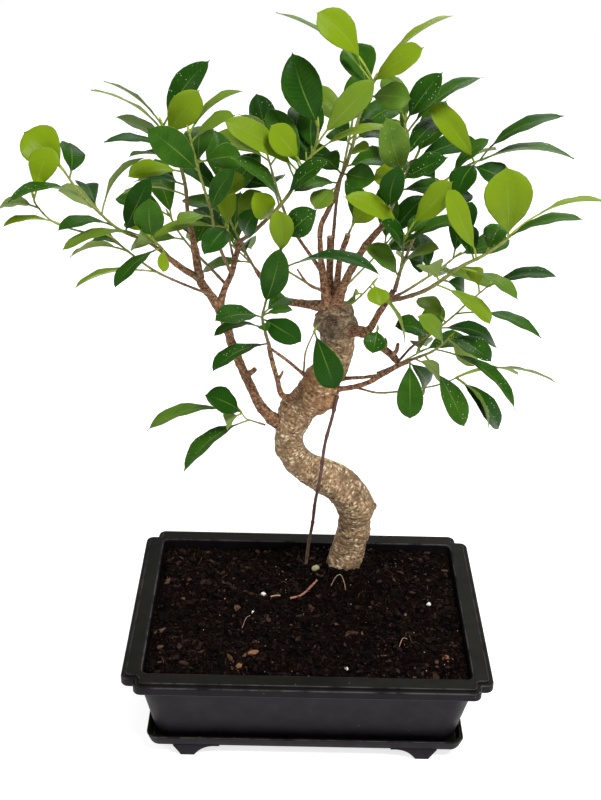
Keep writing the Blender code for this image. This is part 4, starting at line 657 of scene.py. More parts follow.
def blade_width(share, fullness):
    """A leaf's outline: share^a · (1 - share)^b, scaled to 1 at its widest, and a narrow
    drip tip that falls in a straight line to nothing. The fuller, the nearer the tip it
    is widest."""
    a, b = 0.86 + 0.36 * fullness, 0.72 - 0.22 * fullness
    inner = np.clip(share / 0.962, 0, 1)
    widest = a / (a + b)
    body = inner**a * (1 - inner) ** b / (widest**a * (1 - widest) ** b)
    drip = 0.10 * np.clip((1 - share) / 0.11, 0, 1) * (share > 0.5)
    return np.maximum(body, drip)


def leaf_grid(base, tip, breadth, turn, stalk, age, luck):
    """Rings along the stalk and the blade. The middle line bows by 4 · arch · length ·
    s(1 - s) towards the upper face. Across it, t = cos a runs from edge to edge and
    sin a from the under to the upper face, and the two halves fold up along the midrib."""
    ahead, side, normal = leaf_frame(base, tip, turn)
    length = np.linalg.norm(tip - base)
    stalk = min(stalk, 0.5 * length)
    reach = np.concatenate([stalk * np.array([0, 0.3, 0.65, 0.9]),
                            stalk + (length - stalk) * STATIONS])
    share = np.concatenate([np.array([-1.0, -0.7, -0.35, -0.1]), STATIONS])
    on_blade = np.clip(share, 0, 1)
    half = breadth / 2 * blade_width(on_blade, 0.55 * luck[0] + 0.25 * age)
    half = np.maximum(half, np.where(share < 0.5, 0.72, 0.12))
    thick = np.where(share <= 0, 0.72, 0.17 + 0.45 * np.exp(-on_blade / 0.05))
    thick = np.minimum(thick, np.maximum(half, 0.12))
    rib = 0.45 * (1 - on_blade) * (share > 0)
    arch = LEAF_ARCH * (0.75 + 0.6 * luck[1])
    bow = 4 * arch * length * (reach / length) * (1 - reach / length)
    fold = (0.20 + 0.46 * luck[2]) * np.clip(on_blade / 0.1, 0, 1)
    waves = 0.035 * breadth * np.sin(on_blade * 17 + 20 * luck[0]) * (on_blade > 0.05)
    t, lift = ACROSS[None], LIFT[None]
    height = lift * thick[:, None]
    height = height - rib[:, None] * (lift < -0.1) * np.exp(-((t / 0.16) ** 2))
    height = height + fold[:, None] * half[:, None] * (np.abs(t) - 0.45 * t**2)
    height = height + waves[:, None] * t**2 * np.sign(t) * 0.8
    sway = (luck[3] - 0.5) * 0.08 * length * np.sin(np.pi * on_blade) * (share > 0)
    twist = np.radians(26) * (luck[4] - 0.5) * (on_blade - 0.4)
    across = t * half[:, None]
    middle = base + ahead * reach[:, None] + normal * bow[:, None] + side * sway[:, None]
    along_side = across * np.cos(twist)[:, None] - height * np.sin(twist)[:, None]
    along_normal = across * np.sin(twist)[:, None] + height * np.cos(twist)[:, None]
    grid = middle[:, None] + along_side[..., None] * side + along_normal[..., None] * normal
    under = np.broadcast_to(np.where(LIFT < -0.1, 1.0, 0.0), grid.shape[:2])
    marks = np.stack([np.broadcast_to(share[:, None], under.shape),
                      np.broadcast_to(t, under.shape), under], axis=-1)
    return grid, marks


def along(points, share):
    """The point at this share of the path's length."""
    run = length_along(points)
    return np.array([np.interp(share * run[-1], run, column) for column in points.T])


def add_twig(skin, path, radius, seed):
    """A twig's rings, thinner towards its end, and its pointed end bud."""
    rows = through(path, 2.0)
    run = length_along(rows)
    share = run / run[-1]
    nodes = 0.22 * np.exp(-(((run + seed) % 9.5 - 4.5) / 1.0) ** 2)
    grid = rings(rows, radius * (1 - 0.4 * share) * (1 + nodes), 10)
    marks = np.zeros(grid.shape)
    marks[..., 0] = share[:, None]
    marks[..., 1] = run[:, None]
    skin.add_rod(grid, 1, twig=marks)
    end, ahead = rows[-1], unit(rows[-1] - rows[-2])
    rise = np.linspace(0, 1, 6)
    bud = end - ahead + ahead * (7.5 * rise[:, None])
    girth = 0.95 * (1 - rise) ** 0.8 * (1 + 0.9 * rise) + 0.06
    grid = rings(bud, girth, 8)
    blade = np.broadcast_to((-0.5, 0.0, 0.0), grid.shape)
    skin.add_rod(grid, 0, blade=blade, kind=np.broadcast_to((1.0, 0.5, 0.0), grid.shape))


def make_shoot(name, radius, path, leaves, looks, luck):
    """One shoot: its twig, and a leaf for each row of its table."""
    skin = Skin()
    places = seen(path)
    into_wood = places[0] - 5.0 * unit(places[1] - places[0])
    add_twig(skin, np.vstack([into_wood, places]), radius, 10 * luck.random())
    for share, x, z, back, breadth, turn, stalk, age in leaves:
        base = along(places, min(share, 0.985))
        chance = luck.random(6)
        grid, blade = leaf_grid(base, seen((x, z, back)), breadth, turn, stalk, age, chance)
        tone = 0.07 + 0.43 * age + 0.30 * (chance[5] - 0.5)
        kind = np.broadcast_to((tone, chance[0], chance[2]), grid.shape)
        skin.add_rod(grid, 0, blade=blade, kind=kind)
    made = skin.piece(f"{name}_shoot", looks)
    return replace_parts(made, f"shoot_{name}")


# ---------------------------------------------------------------------------
# The pot and the tray


def arc(x, y, radius, start, end, steps):
    """Points round (x, y): x + radius · cos a, y + radius · sin a, a in quarter turns."""
    angle = np.linspace(start, end, steps) * np.pi / 2
    return np.column_stack([x + radius * np.cos(angle), y + radius * np.sin(angle)])


def mirrored(quarter):
    """A closed outline from its quarter, which runs from the +X side to the +Y side."""
    left = quarter[::-1] * (-1, 1)
    back = np.vstack([quarter[:-1], left[:-1]])
    return np.vstack([back, -back])


def sides(x, y, end_y, end_x):
    """The straight runs from the +X side and to the +Y side, closer near the corner."""
    ease = np.sin(np.linspace(0, 1, 9) * np.pi / 2)[:, None]
    first = np.array([[x, 0.0]]) + ease * np.array([[0.0, end_y]])
    last = np.array([[0.0, y]]) + ease[::-1] * np.array([[end_x, 0.0]])
    return first, last


def rounded(width, depth, radius):
    """A rectangle about the middle, its corners quarter circles."""
    x, y = width / 2, depth / 2
    first, last = sides(x, y, y - radius, x - radius)
    corner = arc(x - radius, y - radius, radius, 0, 1, 18)
    return mirrored(np.vstack([first, corner, last]))


def stepped(inset):
    """The rim's outline, this far in from its edge: each corner is stepped in, its two
    outer corners rounded and its inner one filled a little."""
    x, y = RIM_WIDTH / 2 - inset, RIM_DEPTH / 2 - inset
    radius, fill = max(RIM_CORNER - 0.8 * inset, 1.0), 1.2 + 0.5 * inset
    low, high = x - RIM_STEP_X, y - RIM_STEP_Y
    first, last = sides(x, y, high - radius, low - radius)
    corner = np.vstack([
        arc(x - radius, high - radius, radius, 0, 1, 6),
        arc(low + fill, high + fill, fill, -1, -2, 6),
        arc(low - radius, y - radius, radius, 0, 1, 6),
    ])
    return mirrored(np.vstack([first, corner, last]))


def wall_outline(z, inset=0.0):
    """The tapering wall at height z: its sides run straight from the base to the rim."""
    share = (z - POT_BOTTOM) / (RIM_TOP - RIM_HEIGHT - POT_BOTTOM)
    width = BASE_WIDTH + (RIM_WIDTH - 2 * WALL_INSET - BASE_WIDTH) * share
    depth = BASE_DEPTH + (RIM_DEPTH - 2 * WALL_INSET - BASE_DEPTH) * share
    return rounded(width - 2 * inset, depth - 2 * inset, BASE_CORNER - inset)


def carried(profile):
    """Rings (outline, z) as one grid, with a ring close to each end of a long face."""
    flat = [np.column_stack([ring, np.full(len(ring), z)]) for ring, z in profile]
    grid = [flat[0]]
    for before, after in zip(flat, flat[1:]):
        gap = np.linalg.norm(after - before, axis=1).mean()
        if gap > 2.0:
            grid += [before + (after - before) * 0.35 / gap, after - (after - before) * 0.35 / gap]
        grid.append(after)
    return np.array(grid)


def make_pot(plastic):
    """Outlines from the inside of the floor, up and over the rim and down the wall."""
    top, under = RIM_TOP, RIM_TOP - RIM_HEIGHT
    inner_width, inner_depth = RIM_WIDTH - 2 * RIM_LEDGE, RIM_DEPTH - 2 * RIM_LEDGE
    inner_corner = 5.0
    lip = top - LIP_DROP
    profile = [(wall_outline(POT_BOTTOM + WALL, WALL + 3), POT_BOTTOM + WALL)]
    profile += [(wall_outline(POT_BOTTOM + WALL + 3, WALL), POT_BOTTOM + WALL + 3)]
    profile += [(rounded(inner_width, inner_depth, inner_corner), top - 12)]
    for grow, drop in ((0, 1.6), (0.3, 0.8), (0.8, 0.3), (1.6, 0)):
        outline = rounded(inner_width + 2 * grow, inner_depth + 2 * grow, inner_corner + grow)
        profile.append((outline, top - drop))
    for inset, z in (
        (LIP_WIDTH + 1.0, top), (LIP_WIDTH + 0.5, top - 0.12), (LIP_WIDTH + 0.2, top - 0.5),
        (LIP_WIDTH, lip - 0.35), (LIP_WIDTH - 0.3, lip - 0.45), (LIP_WIDTH - 0.8, lip),
        (1.2, lip), (0.4, lip - 0.3), (0.0, lip - 1.2),
        (0.0, under + 1.0), (0.35, under + 0.3), (1.1, under),
    ):
        profile.append((stepped(inset), z))
    profile += [(wall_outline(under, -0.6), under), (wall_outline(under - 0.8), under - 0.8)]
    profile += [(wall_outline(z), z) for z in (60, 40, 24)]
    for i in range(6):
        turn = math.radians(18 * i)
        drop = 4.0 * (1 - math.sin(turn))
        inset = 4.0 * (1 - math.cos(turn))
        profile.append((wall_outline(POT_BOTTOM + 4.0, inset), POT_BOTTOM + drop))
    skin = Skin()
    skin.add_rod(carried(profile))
    made = skin.piece("bonsai_pot", [plastic])
    made.data.set_sharp_from_angle(angle=math.radians(50))
    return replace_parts(made, "pot")


def foot_under(x):
    """The height of a foot's underside: flat under the foot, a straight slope outside it,
    and inside it an arch that rises as 1 - (1 - u)^2.9 along the bracket."""
    half = FOOT_WIDTH / 2
    outside = np.clip((x - half) / FOOT_OUTER_SLOPE, 0, 1)
    inside = np.clip((-x - half) / FOOT_BRACKET, 0, 1)
    arch = 1 - (1 - inside) ** 2.9
    return TRAY_BOTTOM * np.maximum(outside, arch)


def make_tray(plastic):
    """Rounded outlines for the tray, and a rod of box sections for each foot."""
    corner = TRAY_CORNER
    middle = (TRAY_TOP - TRAY_BOTTOM) / 2
    profile = [
        (rounded(TRAY_WIDTH - 2 * side, TRAY_DEPTH - 2 * side, corner - side / 2), z)
        for side, z in (
            (TRAY_FLARE + 2.4, TRAY_BOTTOM), (TRAY_FLARE + 1.2, TRAY_BOTTOM + 0.2),
            (TRAY_FLARE + 0.4, TRAY_BOTTOM + 0.8), (TRAY_FLARE - 0.2, TRAY_BOTTOM + 2.0),
            (TRAY_FLARE / 2, TRAY_BOTTOM + middle), (0.5, TRAY_TOP - 2.0), (0.0, TRAY_TOP - 1.1),
            (0.3, TRAY_TOP - 0.3), (0.9, TRAY_TOP), (TRAY_WALL - 0.7, TRAY_TOP),
            (TRAY_WALL - 0.1, TRAY_TOP - 0.4), (TRAY_WALL + 0.2, TRAY_TOP - 1.2),
            (TRAY_WALL + TRAY_FLARE - 0.4, TRAY_BOTTOM + TRAY_WALL + 1.2),
            (TRAY_WALL + TRAY_FLARE + 1.0, TRAY_BOTTOM + TRAY_WALL),
        )
    ]
    skin = Skin()
    skin.add_rod(carried(profile))
    across = np.concatenate([
        np.linspace(-FOOT_BRACKET - FOOT_WIDTH / 2, -FOOT_WIDTH / 2, 14),
        np.linspace(-FOOT_WIDTH / 2 + 0.5, FOOT_WIDTH / 2 - 0.5, 4),
        np.linspace(FOOT_WIDTH / 2, FOOT_WIDTH / 2 + FOOT_OUTER_SLOPE, 5),
    ])
    depth, top = FOOT_DEPTH / 2, TRAY_BOTTOM + 1.0
    low = np.minimum(foot_under(across), TRAY_BOTTOM - 0.15)
    # each ring is a box section: y and how high, as shares, with its lower edges rounded
    section = ((-1, 1), (-1, 0.12), (-0.94, 0.03), (-0.85, 0), (0.85, 0), (0.94, 0.03),
               (1, 0.12), (1, 1))
    for i, j in itertools.product((-1, 1), repeat=2):
        x = i * (TRAY_WIDTH / 2 - FOOT_INSET + across)
        y = j * ((TRAY_DEPTH - 2 * TRAY_FLARE) / 2 - depth)
        grid = np.array([
            np.column_stack([x, np.full(len(x), y + depth * share_y), low + (top - low) * up])
            for share_y, up in section
        ]).transpose(1, 0, 2)
        skin.add_rod(grid)
    made = skin.piece("footed_tray", [plastic])
    made.data.set_sharp_from_angle(angle=math.radians(50))
    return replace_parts(made, "drip_tray")


# ---------------------------------------------------------------------------
# The soil and what lies on it


def inside_rim(x, y, margin):
    """Whether (x, y) is within the pot's opening, this far from its edge."""
    return (np.abs(x) < RIM_WIDTH / 2 - RIM_LEDGE - margin) & (
        np.abs(y) < RIM_DEPTH / 2 - RIM_LEDGE - margin)


def soil_surface(x, y):
    """The height of the crumbly surface: the mounded level, slow unevenness, and lumps
    whose heights are the absolute values of the ripples that make them."""
    flat = np.stack([x, y, 0 * x], axis=-1)
    broad = 1.1 * ripple(flat / 34, 21) + 0.8 * ripple(flat / 15, 22)
    lumps = 2.6 * np.abs(ripple(flat / 7.0, 23)) + 2.4 * np.abs(ripple(flat / 3.6, 24))
    fine = 1.1 * ripple(flat / 1.9, 25)
    heap = 14.0 * np.exp(-(((x - TREE_X) ** 2 + (y - TREE_Y + 8) ** 2) / 22**2))
    return soil_height(x, y) - 3.3 + broad + lumps + fine + heap


def make_soil(peat):
    """A square grid whose rim is drawn in at the corners, with a skirt down to the floor."""
    half_x, half_y = RIM_WIDTH / 2 - RIM_LEDGE - 0.5, RIM_DEPTH / 2 - RIM_LEDGE - 0.5
    across, deep = np.meshgrid(np.linspace(-1, 1, 270), np.linspace(-1, 1, 190), indexing="ij")
    corner = np.clip(np.abs(across) + np.abs(deep) - 1.86, 0, None)
    x, y = half_x * across * (1 - 0.25 * corner), half_y * deep * (1 - 0.25 * corner)
    grid = np.stack([x, y, soil_surface(x, y)], axis=-1)
    skin = Skin()
    index = skin.add_points(grid, {})
    squares = [index[:-1, :-1], index[1:, :-1], index[1:, 1:], index[:-1, 1:]]
    skin.add_faces(np.stack(squares, -1), 0)
    rim = np.concatenate([index[:-1, 0], index[-1, :-1], index[:0:-1, -1], index[0, :0:-1]])
    edge = grid.reshape(-1, 3)[rim]
    low_x, low_y = (BASE_WIDTH - 2 * WALL - 6) / 2, (BASE_DEPTH - 2 * WALL - 6) / 2
    rows = [rim]
    for z, share in ((76.0, 0.12), (48.0, 0.55), (SOIL_FLOOR + 2, 1.0), (SOIL_FLOOR, 1.0)):
        wide = 1 + (low_x / half_x - 1) * share
        deep_share = 1 + (low_y / half_y - 1) * share
        ring = np.column_stack([edge[:, 0] * wide, edge[:, 1] * deep_share, np.full(len(edge), z)])
        rows.append(skin.add_points(ring, {}))
    for above, below in zip(rows, rows[1:]):
        after_above, after_below = np.roll(above, -1), np.roll(below, -1)
        skin.add_faces(np.stack([above, below, after_below, after_above], -1), 0)
    middle = skin.add_points(np.array([[0.0, 0.0, SOIL_FLOOR]]), {})
    fan = [np.broadcast_to(middle, rim.shape), np.roll(rows[-1], -1), rows[-1]]
    skin.add_faces(np.stack(fan, -1), 0)
    made = skin.piece("soil_bed", [peat])
    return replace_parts(made, "soil")


def ball_points():
    """The twelve corners and twenty faces of an icosahedron of radius 1."""
    bm = bmesh.new()
    bmesh.ops.create_icosphere(bm, subdivisions=1, radius=1.0)
    corners = np.array([v.co for v in bm.verts])
    faces = np.array([[v.index for v in f.verts] for f in bm.faces])
    bm.free()
    return corners, faces


def lumps_at(skin, centres, sizes, heading, luck, tone=None, uneven=0.28):
    """Many lumps at once: the ball's corners, each moved in or out by luck, stretched by
    the three sizes, turned by its heading and set down at its centre."""
    corners, faces = ball_points()
    shape = corners[None] * (1 + uneven * (luck.random((len(centres), len(corners), 1)) * 2 - 1))
    shape = shape * sizes[:, None]
    cos, sin = np.cos(heading)[:, None], np.sin(heading)[:, None]
    turned = np.stack([shape[..., 0] * cos - shape[..., 1] * sin,
                       shape[..., 0] * sin + shape[..., 1] * cos, shape[..., 2]], axis=-1)
    tones = np.zeros(turned.shape)
    if tone is not None:
        tones[..., 0] = tone[:, None]
    index = skin.add_points(turned + centres[:, None], {"crumb": tones})
    skin.add_faces(index[:, faces].reshape(-1, 3), 0)


def make_crumbs(finish, luck):
    """Loose crumbs over the whole surface, their sizes following a power of luck."""
    count = CRUMB_COUNT
    x = (luck.random(count) * 2 - 1) * (RIM_WIDTH / 2 - RIM_LEDGE - 3)
    y = (luck.random(count) * 2 - 1) * (RIM_DEPTH / 2 - RIM_LEDGE - 3)
    size = 0.55 + 2.6 * luck.random(count) ** 4.5
    keep = inside_rim(x, y, 2 + size) & (np.hypot(x - TREE_X, y - TREE_Y) > 16.5)
    x, y, size = x[keep], y[keep], size[keep]
    z = soil_surface(x, y) + 0.15 * size
    sizes = size[:, None] * (0.35 + 0.9 * luck.random((len(size), 3))) * (1.6, 0.8, 0.7)
    skin = Skin()
    lumps_at(skin, np.column_stack([x, y, z]), sizes, 6.28 * luck.random(len(x)), luck,
             luck.random(len(x)) ** 1.25, 0.36)
    made = skin.piece("soil_crumbs", [finish], smooth=False)
    return made


def make_fibres(finish, luck):
    """Thin fibres of peat and root: three-sided rods on arcs of up to 1.2 radians."""
    reach = (RIM_WIDTH / 2 - RIM_LEDGE - 9, RIM_DEPTH / 2 - RIM_LEDGE - 9)
    skin = Skin()
    for _ in range(FIBRE_COUNT):
        x, y = (luck.random(2) * 2 - 1) * reach
        if math.hypot(x - TREE_X, y - TREE_Y) < 20:
            continue
        heading, bend = 6.28 * luck.random(), 2.4 * luck.random() - 1.2
        length = 2.5 + 9 * luck.random() ** 1.5
        share = np.linspace(0, 1, 7)
        turn = heading + bend * share
        steps = np.column_stack([np.cos(turn), np.sin(turn)]) * length / 7
        flat = np.array([x, y]) + np.cumsum(steps, axis=0)
        lift = 0.9 + 1.8 * np.sin(np.pi * share) * luck.random()
        z = soil_surface(flat[:, 0], flat[:, 1]) + lift
        tone = 0.55 + 0.45 * luck.random()
        grid = rings(np.column_stack([flat, z]), 0.16 + 0.22 * luck.random() ** 2, 3)
        skin.add_rod(grid, crumb=np.broadcast_to((tone, 0.0, 0.0), grid.shape))
    made = skin.piece("soil_fibres", [finish])
    return made


# x, y, length, breadth, height, heading in degrees, then how uneven the lump is
PERLITE_LUMPS = (
    ("perlite_1", -36, 22, 4, 3.6, 3, 20, 0.2), ("perlite_2", 100, 10, 4, 3.5, 3, 50, 0.2),
    ("perlite_3", 30, -70, 3, 3, 2.5, 0, 0.2), ("perlite_4", -44, -4, 2.6, 2.2, 2, 70, 0.2),
)
PEBBLE = ("pebble_1", 7, 36, 8, 6, 5, 30, 0.08)
CHIPS = (
    ("bark_chip_1", -42, -55, 9, 5, 3, 20, 0.2), ("bark_chip_2", -52, -70, 7, 5, 3, 70, 0.2),
    ("bark_chip_3", 108, -55, 8, 5, 3, 100, 0.2),
)


def make_lump(name, x, y, length, breadth, height, heading, uneven, finish, slot):
    """A lump from a twice-divided ball: its corners pushed by a slow ripple, stretched
    and turned, and sunk a third of its height into the soil."""
    bm = bmesh.new()
    bmesh.ops.create_icosphere(bm, subdivisions=3, radius=1.0)
    ball = np.array([v.co for v in bm.verts])
    faces = np.array([[v.index for v in f.verts] for f in bm.faces])
    bm.free()
    ball = ball * (1 + uneven * rough(ball * 1.6 + x, 2, 31))[:, None]
    ball = ball * (length / 2, breadth / 2, height / 2)
    turn = math.radians(heading)
    cos, sin = math.cos(turn), math.sin(turn)
    turned = np.column_stack([ball[:, 0] * cos - ball[:, 1] * sin,
                              ball[:, 0] * sin + ball[:, 1] * cos, ball[:, 2]])
    ground = float(soil_surface(np.array([float(x)]), np.array([float(y)]))[0])
    skin = Skin()
    index = skin.add_points(turned + (x, y, ground + height * 0.2), {})
    skin.add_faces(index[faces], 0)
    made = skin.piece(f"{name}_lump", [finish])
    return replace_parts(made, name)


DEAD_TWIG = ((-14, 8), (-4, 11), (8, 20))
# loose things without a solid of their own: x, y and rise of each point, then the radius
LOOSE = (
    (((-30, 14, 0.5), (-26, 15, 1.0), (-22, 14.5, 0.6)), 0.7),
    (((19, 13, 0.0), (23, 17, 3.0), (27, 18, 3.8), (30, 14, 1.6), (31, 10, 0.0)), 0.30),
    (((-52, -22, 0.4), (-49, -15, 1.4), (-46, -9, 0.6)), 0.25),
    (((72, -44, 0.4), (75, -38, 2.0), (79, -35, 0.6)), 0.3),
)


def make_loose_twigs(pink, pale):
    """The dead twig and the pale rootlets: rods just above the soil."""
    flat = np.asarray(DEAD_TWIG, float)
    rise = soil_surface(flat[:, 0], flat[:, 1]) + (2.6, 3.0, 2.4)
    path = through(np.column_stack([flat, rise]), 0.8)
    run = length_along(path)
    skin = Skin()
    bumps = 1 + 0.12 * np.sin(run * 1.9) + 0.10 * np.sin(run * 0.7)
    skin.add_rod(rings(path, 0.85 * bumps, 10))
    twig = skin.piece("dead_twig_bark", [pink])
    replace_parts(twig, "dead_twig")
    skin = Skin()
    for points, radius in LOOSE:
        rows = np.asarray(points, float)
        rows[:, 2] += soil_surface(rows[:, 0], rows[:, 1]) + 0.8
        skin.add_rod(rings(through(rows, 0.8), radius, 6))
    made = skin.piece("pale_rootlets", [pale])


# ---------------------------------------------------------------------------
# Finishes


def tint(red, green, blue):
    """A screen colour, 0 to 255, as the linear colour that a shader takes."""
    share = np.array([red, green, blue]) / 255
    linear = np.where(share <= 0.04045, share / 12.92, ((share + 0.055) / 1.055) ** 2.4)
    return (*linear.tolist(), 1.0)


class Finish:
    """A material, with short calls that add its nodes."""

    def __init__(self, name, roughness, gloss=0.5):
        self.material = bpy.data.materials.new(name)
        self.material.use_nodes = True
        self.tree = self.material.node_tree
        self.shader = self.tree.nodes["Principled BSDF"]
        self.shader.inputs["Roughness"].default_value = roughness
        self.shader.inputs["Specular IOR Level"].default_value = gloss
        self.place = self.add("ShaderNodeTexCoord", {}).outputs["Object"]

    def add(self, kind, inputs, **settings):
        """A node with its settings; an input is a plain value or another node's output."""
        node = self.tree.nodes.new(kind)
        for name, value in settings.items():
            setattr(node, name, value)
        for name, value in inputs.items():
            if isinstance(value, bpy.types.NodeSocket):
                self.tree.links.new(value, node.inputs[name])
            else:
                node.inputs[name].default_value = value
        return node

    def set(self, socket, value):
        """Leads an output into the shader's socket."""
        self.tree.links.new(value, self.shader.inputs[socket])

    def mark(self, name):
        """A stored mark's three numbers, and the whole vector."""
        whole = self.add("ShaderNodeAttribute", {}, attribute_name=name).outputs["Vector"]
        return [*self.add("ShaderNodeSeparateXYZ", {0: whole}).outputs, whole]

    def calc(self, operation, first, second=0.0):
        """One sum on two numbers or outputs."""
        return self.add("ShaderNodeMath", {0: first, 1: second}, operation=operation).outputs[0]

    def scaled(self, vector, factors):
        """Each part of the vector times its own factor."""
        made = self.add("ShaderNodeVectorMath", {0: vector, 1: factors}, operation="MULTIPLY")
        return made.outputs[0]

    def cloud(self, vector, per_metre, detail=3.0, roughness=0.55):
        """Soft noise from 0 to 1, this many swells to a unit of the vector."""
        made = self.add("ShaderNodeTexNoise", {
            "Vector": vector, "Scale": per_metre, "Detail": detail, "Roughness": roughness,
        })
        return made.outputs["Fac"]

    def spots(self, vector, per_metre, size, soft=0.06, share=1.0):
        """1 in a round spot about some cells' middles, 0 between: distance below size."""
        cells = self.add("ShaderNodeTexVoronoi", {"Vector": vector, "Scale": per_metre})
        near = self.step(cells.outputs["Distance"], size + soft, size)
        luck = self.add("ShaderNodeSeparateColor", {0: cells.outputs["Color"]}).outputs[0]
        chosen = self.calc("LESS_THAN", luck, share)
        return self.calc("MULTIPLY", near, chosen)

    def step(self, value, low, high):
        """0 at low, 1 at high and a smooth curve between them."""
        made = self.add("ShaderNodeMapRange", {
            "Value": value, "From Min": low, "From Max": high,
        }, interpolation_type="SMOOTHSTEP")
        return made.outputs["Result"]

    def mix(self, share, first, second):
        """Two colours blended; a colour is three screen numbers or another node's."""
        made = self.add("ShaderNodeMix", {}, data_type="RGBA")
        for index, value in ((0, share), (6, first), (7, second)):
            if isinstance(value, bpy.types.NodeSocket):
                self.tree.links.new(value, made.inputs[index])
            else:
                made.inputs[index].default_value = value if index == 0 else tint(*value)
        return made.outputs[2]

    def ramp(self, value, stops):
        """A colour from stops: places from 0 to 1, each with its screen colour."""
        made = self.add("ShaderNodeValToRGB", {"Fac": value})
        elements = made.color_ramp.elements
        while len(elements) < len(stops):
            elements.new(0.5)
        for element, (place, colour) in zip(elements, stops):
            element.position = place
            element.color = tint(*colour)
        return made.outputs["Color"]

    def bump(self, height, millimetres, before=None):
        """Surface relief, this deep for a height of 1, on top of the one before."""
        inputs = {"Height": height, "Distance": millimetres * MM, "Strength": 1.0}
        if before is not None:
            inputs["Normal"] = before
        return self.add("ShaderNodeBump", inputs).outputs["Normal"]


def plastic_finish(name):
    """Moulded black plastic: a faint grain, painted shade on upward faces, worn edges with a
    painted highlight and specks of dust.
    """
    look = Finish(name, 0.48, 0.08)
    facing = look.add("ShaderNodeNewGeometry", {}).outputs["Normal"]
    upwards = look.add("ShaderNodeSeparateXYZ", {0: facing}).outputs["Z"]
    # faces that point up take a darker, yellower copy of the plastic: painted shade by facing
    # direction
    flat = look.step(upwards, 0.6, 0.95)
    worn = look.cloud(look.place, 55.0, 4.0, 0.6)
    side = look.ramp(worn, ((0.3, (19, 15, 19)), (0.7, (27, 23, 27))))
    top = look.ramp(worn, ((0.3, (11, 11, 6)), (0.7, (19, 18, 12))))
    colour = look.mix(flat, side, top)
    # upward-sloping rounded edges are patchily lighter: wear together with a painted highlight
    # along the edges
    on_edge = look.calc("MULTIPLY", look.step(upwards, 0.25, 0.55), look.step(upwards, 0.97, 0.85))
    edge_wear_and_highlight = look.calc("MULTIPLY", on_edge, look.step(worn, 0.35, 0.6))
    colour = look.mix(look.calc("MULTIPLY", edge_wear_and_highlight, 0.8), colour, (74, 72, 72))
    dust = look.calc("MULTIPLY", look.spots(look.place, 300.0, 0.06, 0.07, 0.04), 0.5)
    colour = look.mix(dust, colour, (176, 172, 165))
    lint = look.spots(look.scaled(look.place, (1.0, 0.25, 1.0)), 150.0, 0.04, 0.03, 0.06)
    colour = look.mix(look.calc("MULTIPLY", lint, 0.4), colour, (196, 192, 186))
    look.set("Base Color", colour)
    scuffed = look.calc("MULTIPLY_ADD", look.cloud(look.place, 90.0, 3.0), 0.26)
    scuffed.node.inputs[2].default_value = 0.36
    look.set("Roughness", scuffed)
    grain = look.bump(look.cloud(look.place, 1500.0, 2.0), 0.10)
    look.set("Normal", look.bump(look.cloud(look.place, 26.0, 2.0), 0.5, grain))
    return look.material


def bark_finish():
    """Ficus bark: grey-brown with rows of cream breathing pores across the trunk, warmer
    on the callus and on the branches, greyer on the knobbly head, pale where it is sawn."""
    look = Finish("ficus_bark", 0.72, 0.3)
    red, warm, head = look.mark("wood")[:3]
    cut, sunken_painted_shade = look.mark("cut")[:2]
    run, straight = look.mark("straight")[2:]
    flecks = look.cloud(straight, 0.42, 5.0, 0.65)
    patches = look.cloud(straight, 0.075, 3.0, 0.6)
    plain = look.ramp(flecks, (
        (0.34, (70, 48, 28)), (0.5, (162, 130, 96)), (0.66, (226, 198, 160)),
    ))
    orange = look.ramp(flecks, (
        (0.28, (88, 54, 28)), (0.5, (160, 114, 74)), (0.72, (212, 164, 118)),
    ))
    grey = look.ramp(flecks, ((0.3, (62, 48, 36)), (0.5, (122, 102, 80)), (0.7, (180, 156, 126))))
    russet = look.ramp(flecks, (
        (0.3, (48, 27, 18)), (0.48, (108, 68, 44)), (0.70, (184, 142, 104)),
    ))
    tone = look.mix(look.step(patches, 0.38, 0.72), plain, (124, 98, 68))
    tone = look.mix(look.calc("MULTIPLY", warm, 0.7), tone, orange)
    tone = look.mix(head, tone, grey)
    tone = look.mix(red, tone, russet)
    across = look.scaled(straight, (1.0, 1.0, 2.5))
    pores = look.spots(across, 0.19, 0.26, 0.12, 0.62)
    pores = look.calc("MULTIPLY", pores, look.step(patches, 0.66, 0.44))
    wrinkles = look.cloud(look.scaled(straight, (1, 1, 3.2)), 0.14, 4.0, 0.6)
    # the low parts of the wrinkles are painted darker: painted shade in the creases
    crease_painted_shade = look.step(wrinkles, 0.46, 0.34)
    tone = look.mix(look.calc("MULTIPLY", crease_painted_shade, 0.65), tone, (64, 44, 28))
    small = look.spots(across, 0.42, 0.17, 0.14, 0.5)
    on_trunk = look.calc("SUBTRACT", 1.0, look.calc("MAXIMUM", red, head))
    # sunken bark is painted darker: painted shade in the hollows
    tone = look.mix(look.calc("MULTIPLY", sunken_painted_shade, 0.75), tone, (58, 40, 26))
    big = look.calc("MULTIPLY", pores, look.calc("MULTIPLY", on_trunk, 0.9))
    tone = look.mix(big, tone, (238, 220, 184))
    tone = look.mix(look.calc("MULTIPLY", small, 0.5), tone, (204, 182, 142))
    dots = look.calc("MULTIPLY", look.spots(across, 0.85, 0.20, 0.14, 0.6), red)
    tone = look.mix(look.calc("MULTIPLY", dots, 0.75), tone, (214, 184, 146))
    # the trunk is darker towards its foot, over its lowest 30 mm
    darker_at_foot = look.step(run, 30.0, 16.0)
    darker_at_foot = look.calc("MULTIPLY", darker_at_foot, look.calc("MULTIPLY", on_trunk, 0.55))
    tone = look.mix(darker_at_foot, tone, (84, 60, 40))
    rings_of_growth = look.ramp(flecks, ((0.3, (196, 160, 112)), (0.7, (232, 206, 160))))
    tone = look.mix(cut, tone, rings_of_growth)
    look.set("Base Color", tone)
    fine = look.bump(look.cloud(straight, 0.9, 4.0, 0.7), 0.35)
    raised = look.bump(look.calc("MAXIMUM", pores, small), 0.35, fine)
    look.set("Normal", look.bump(wrinkles, 2.2, raised))
    return look.material


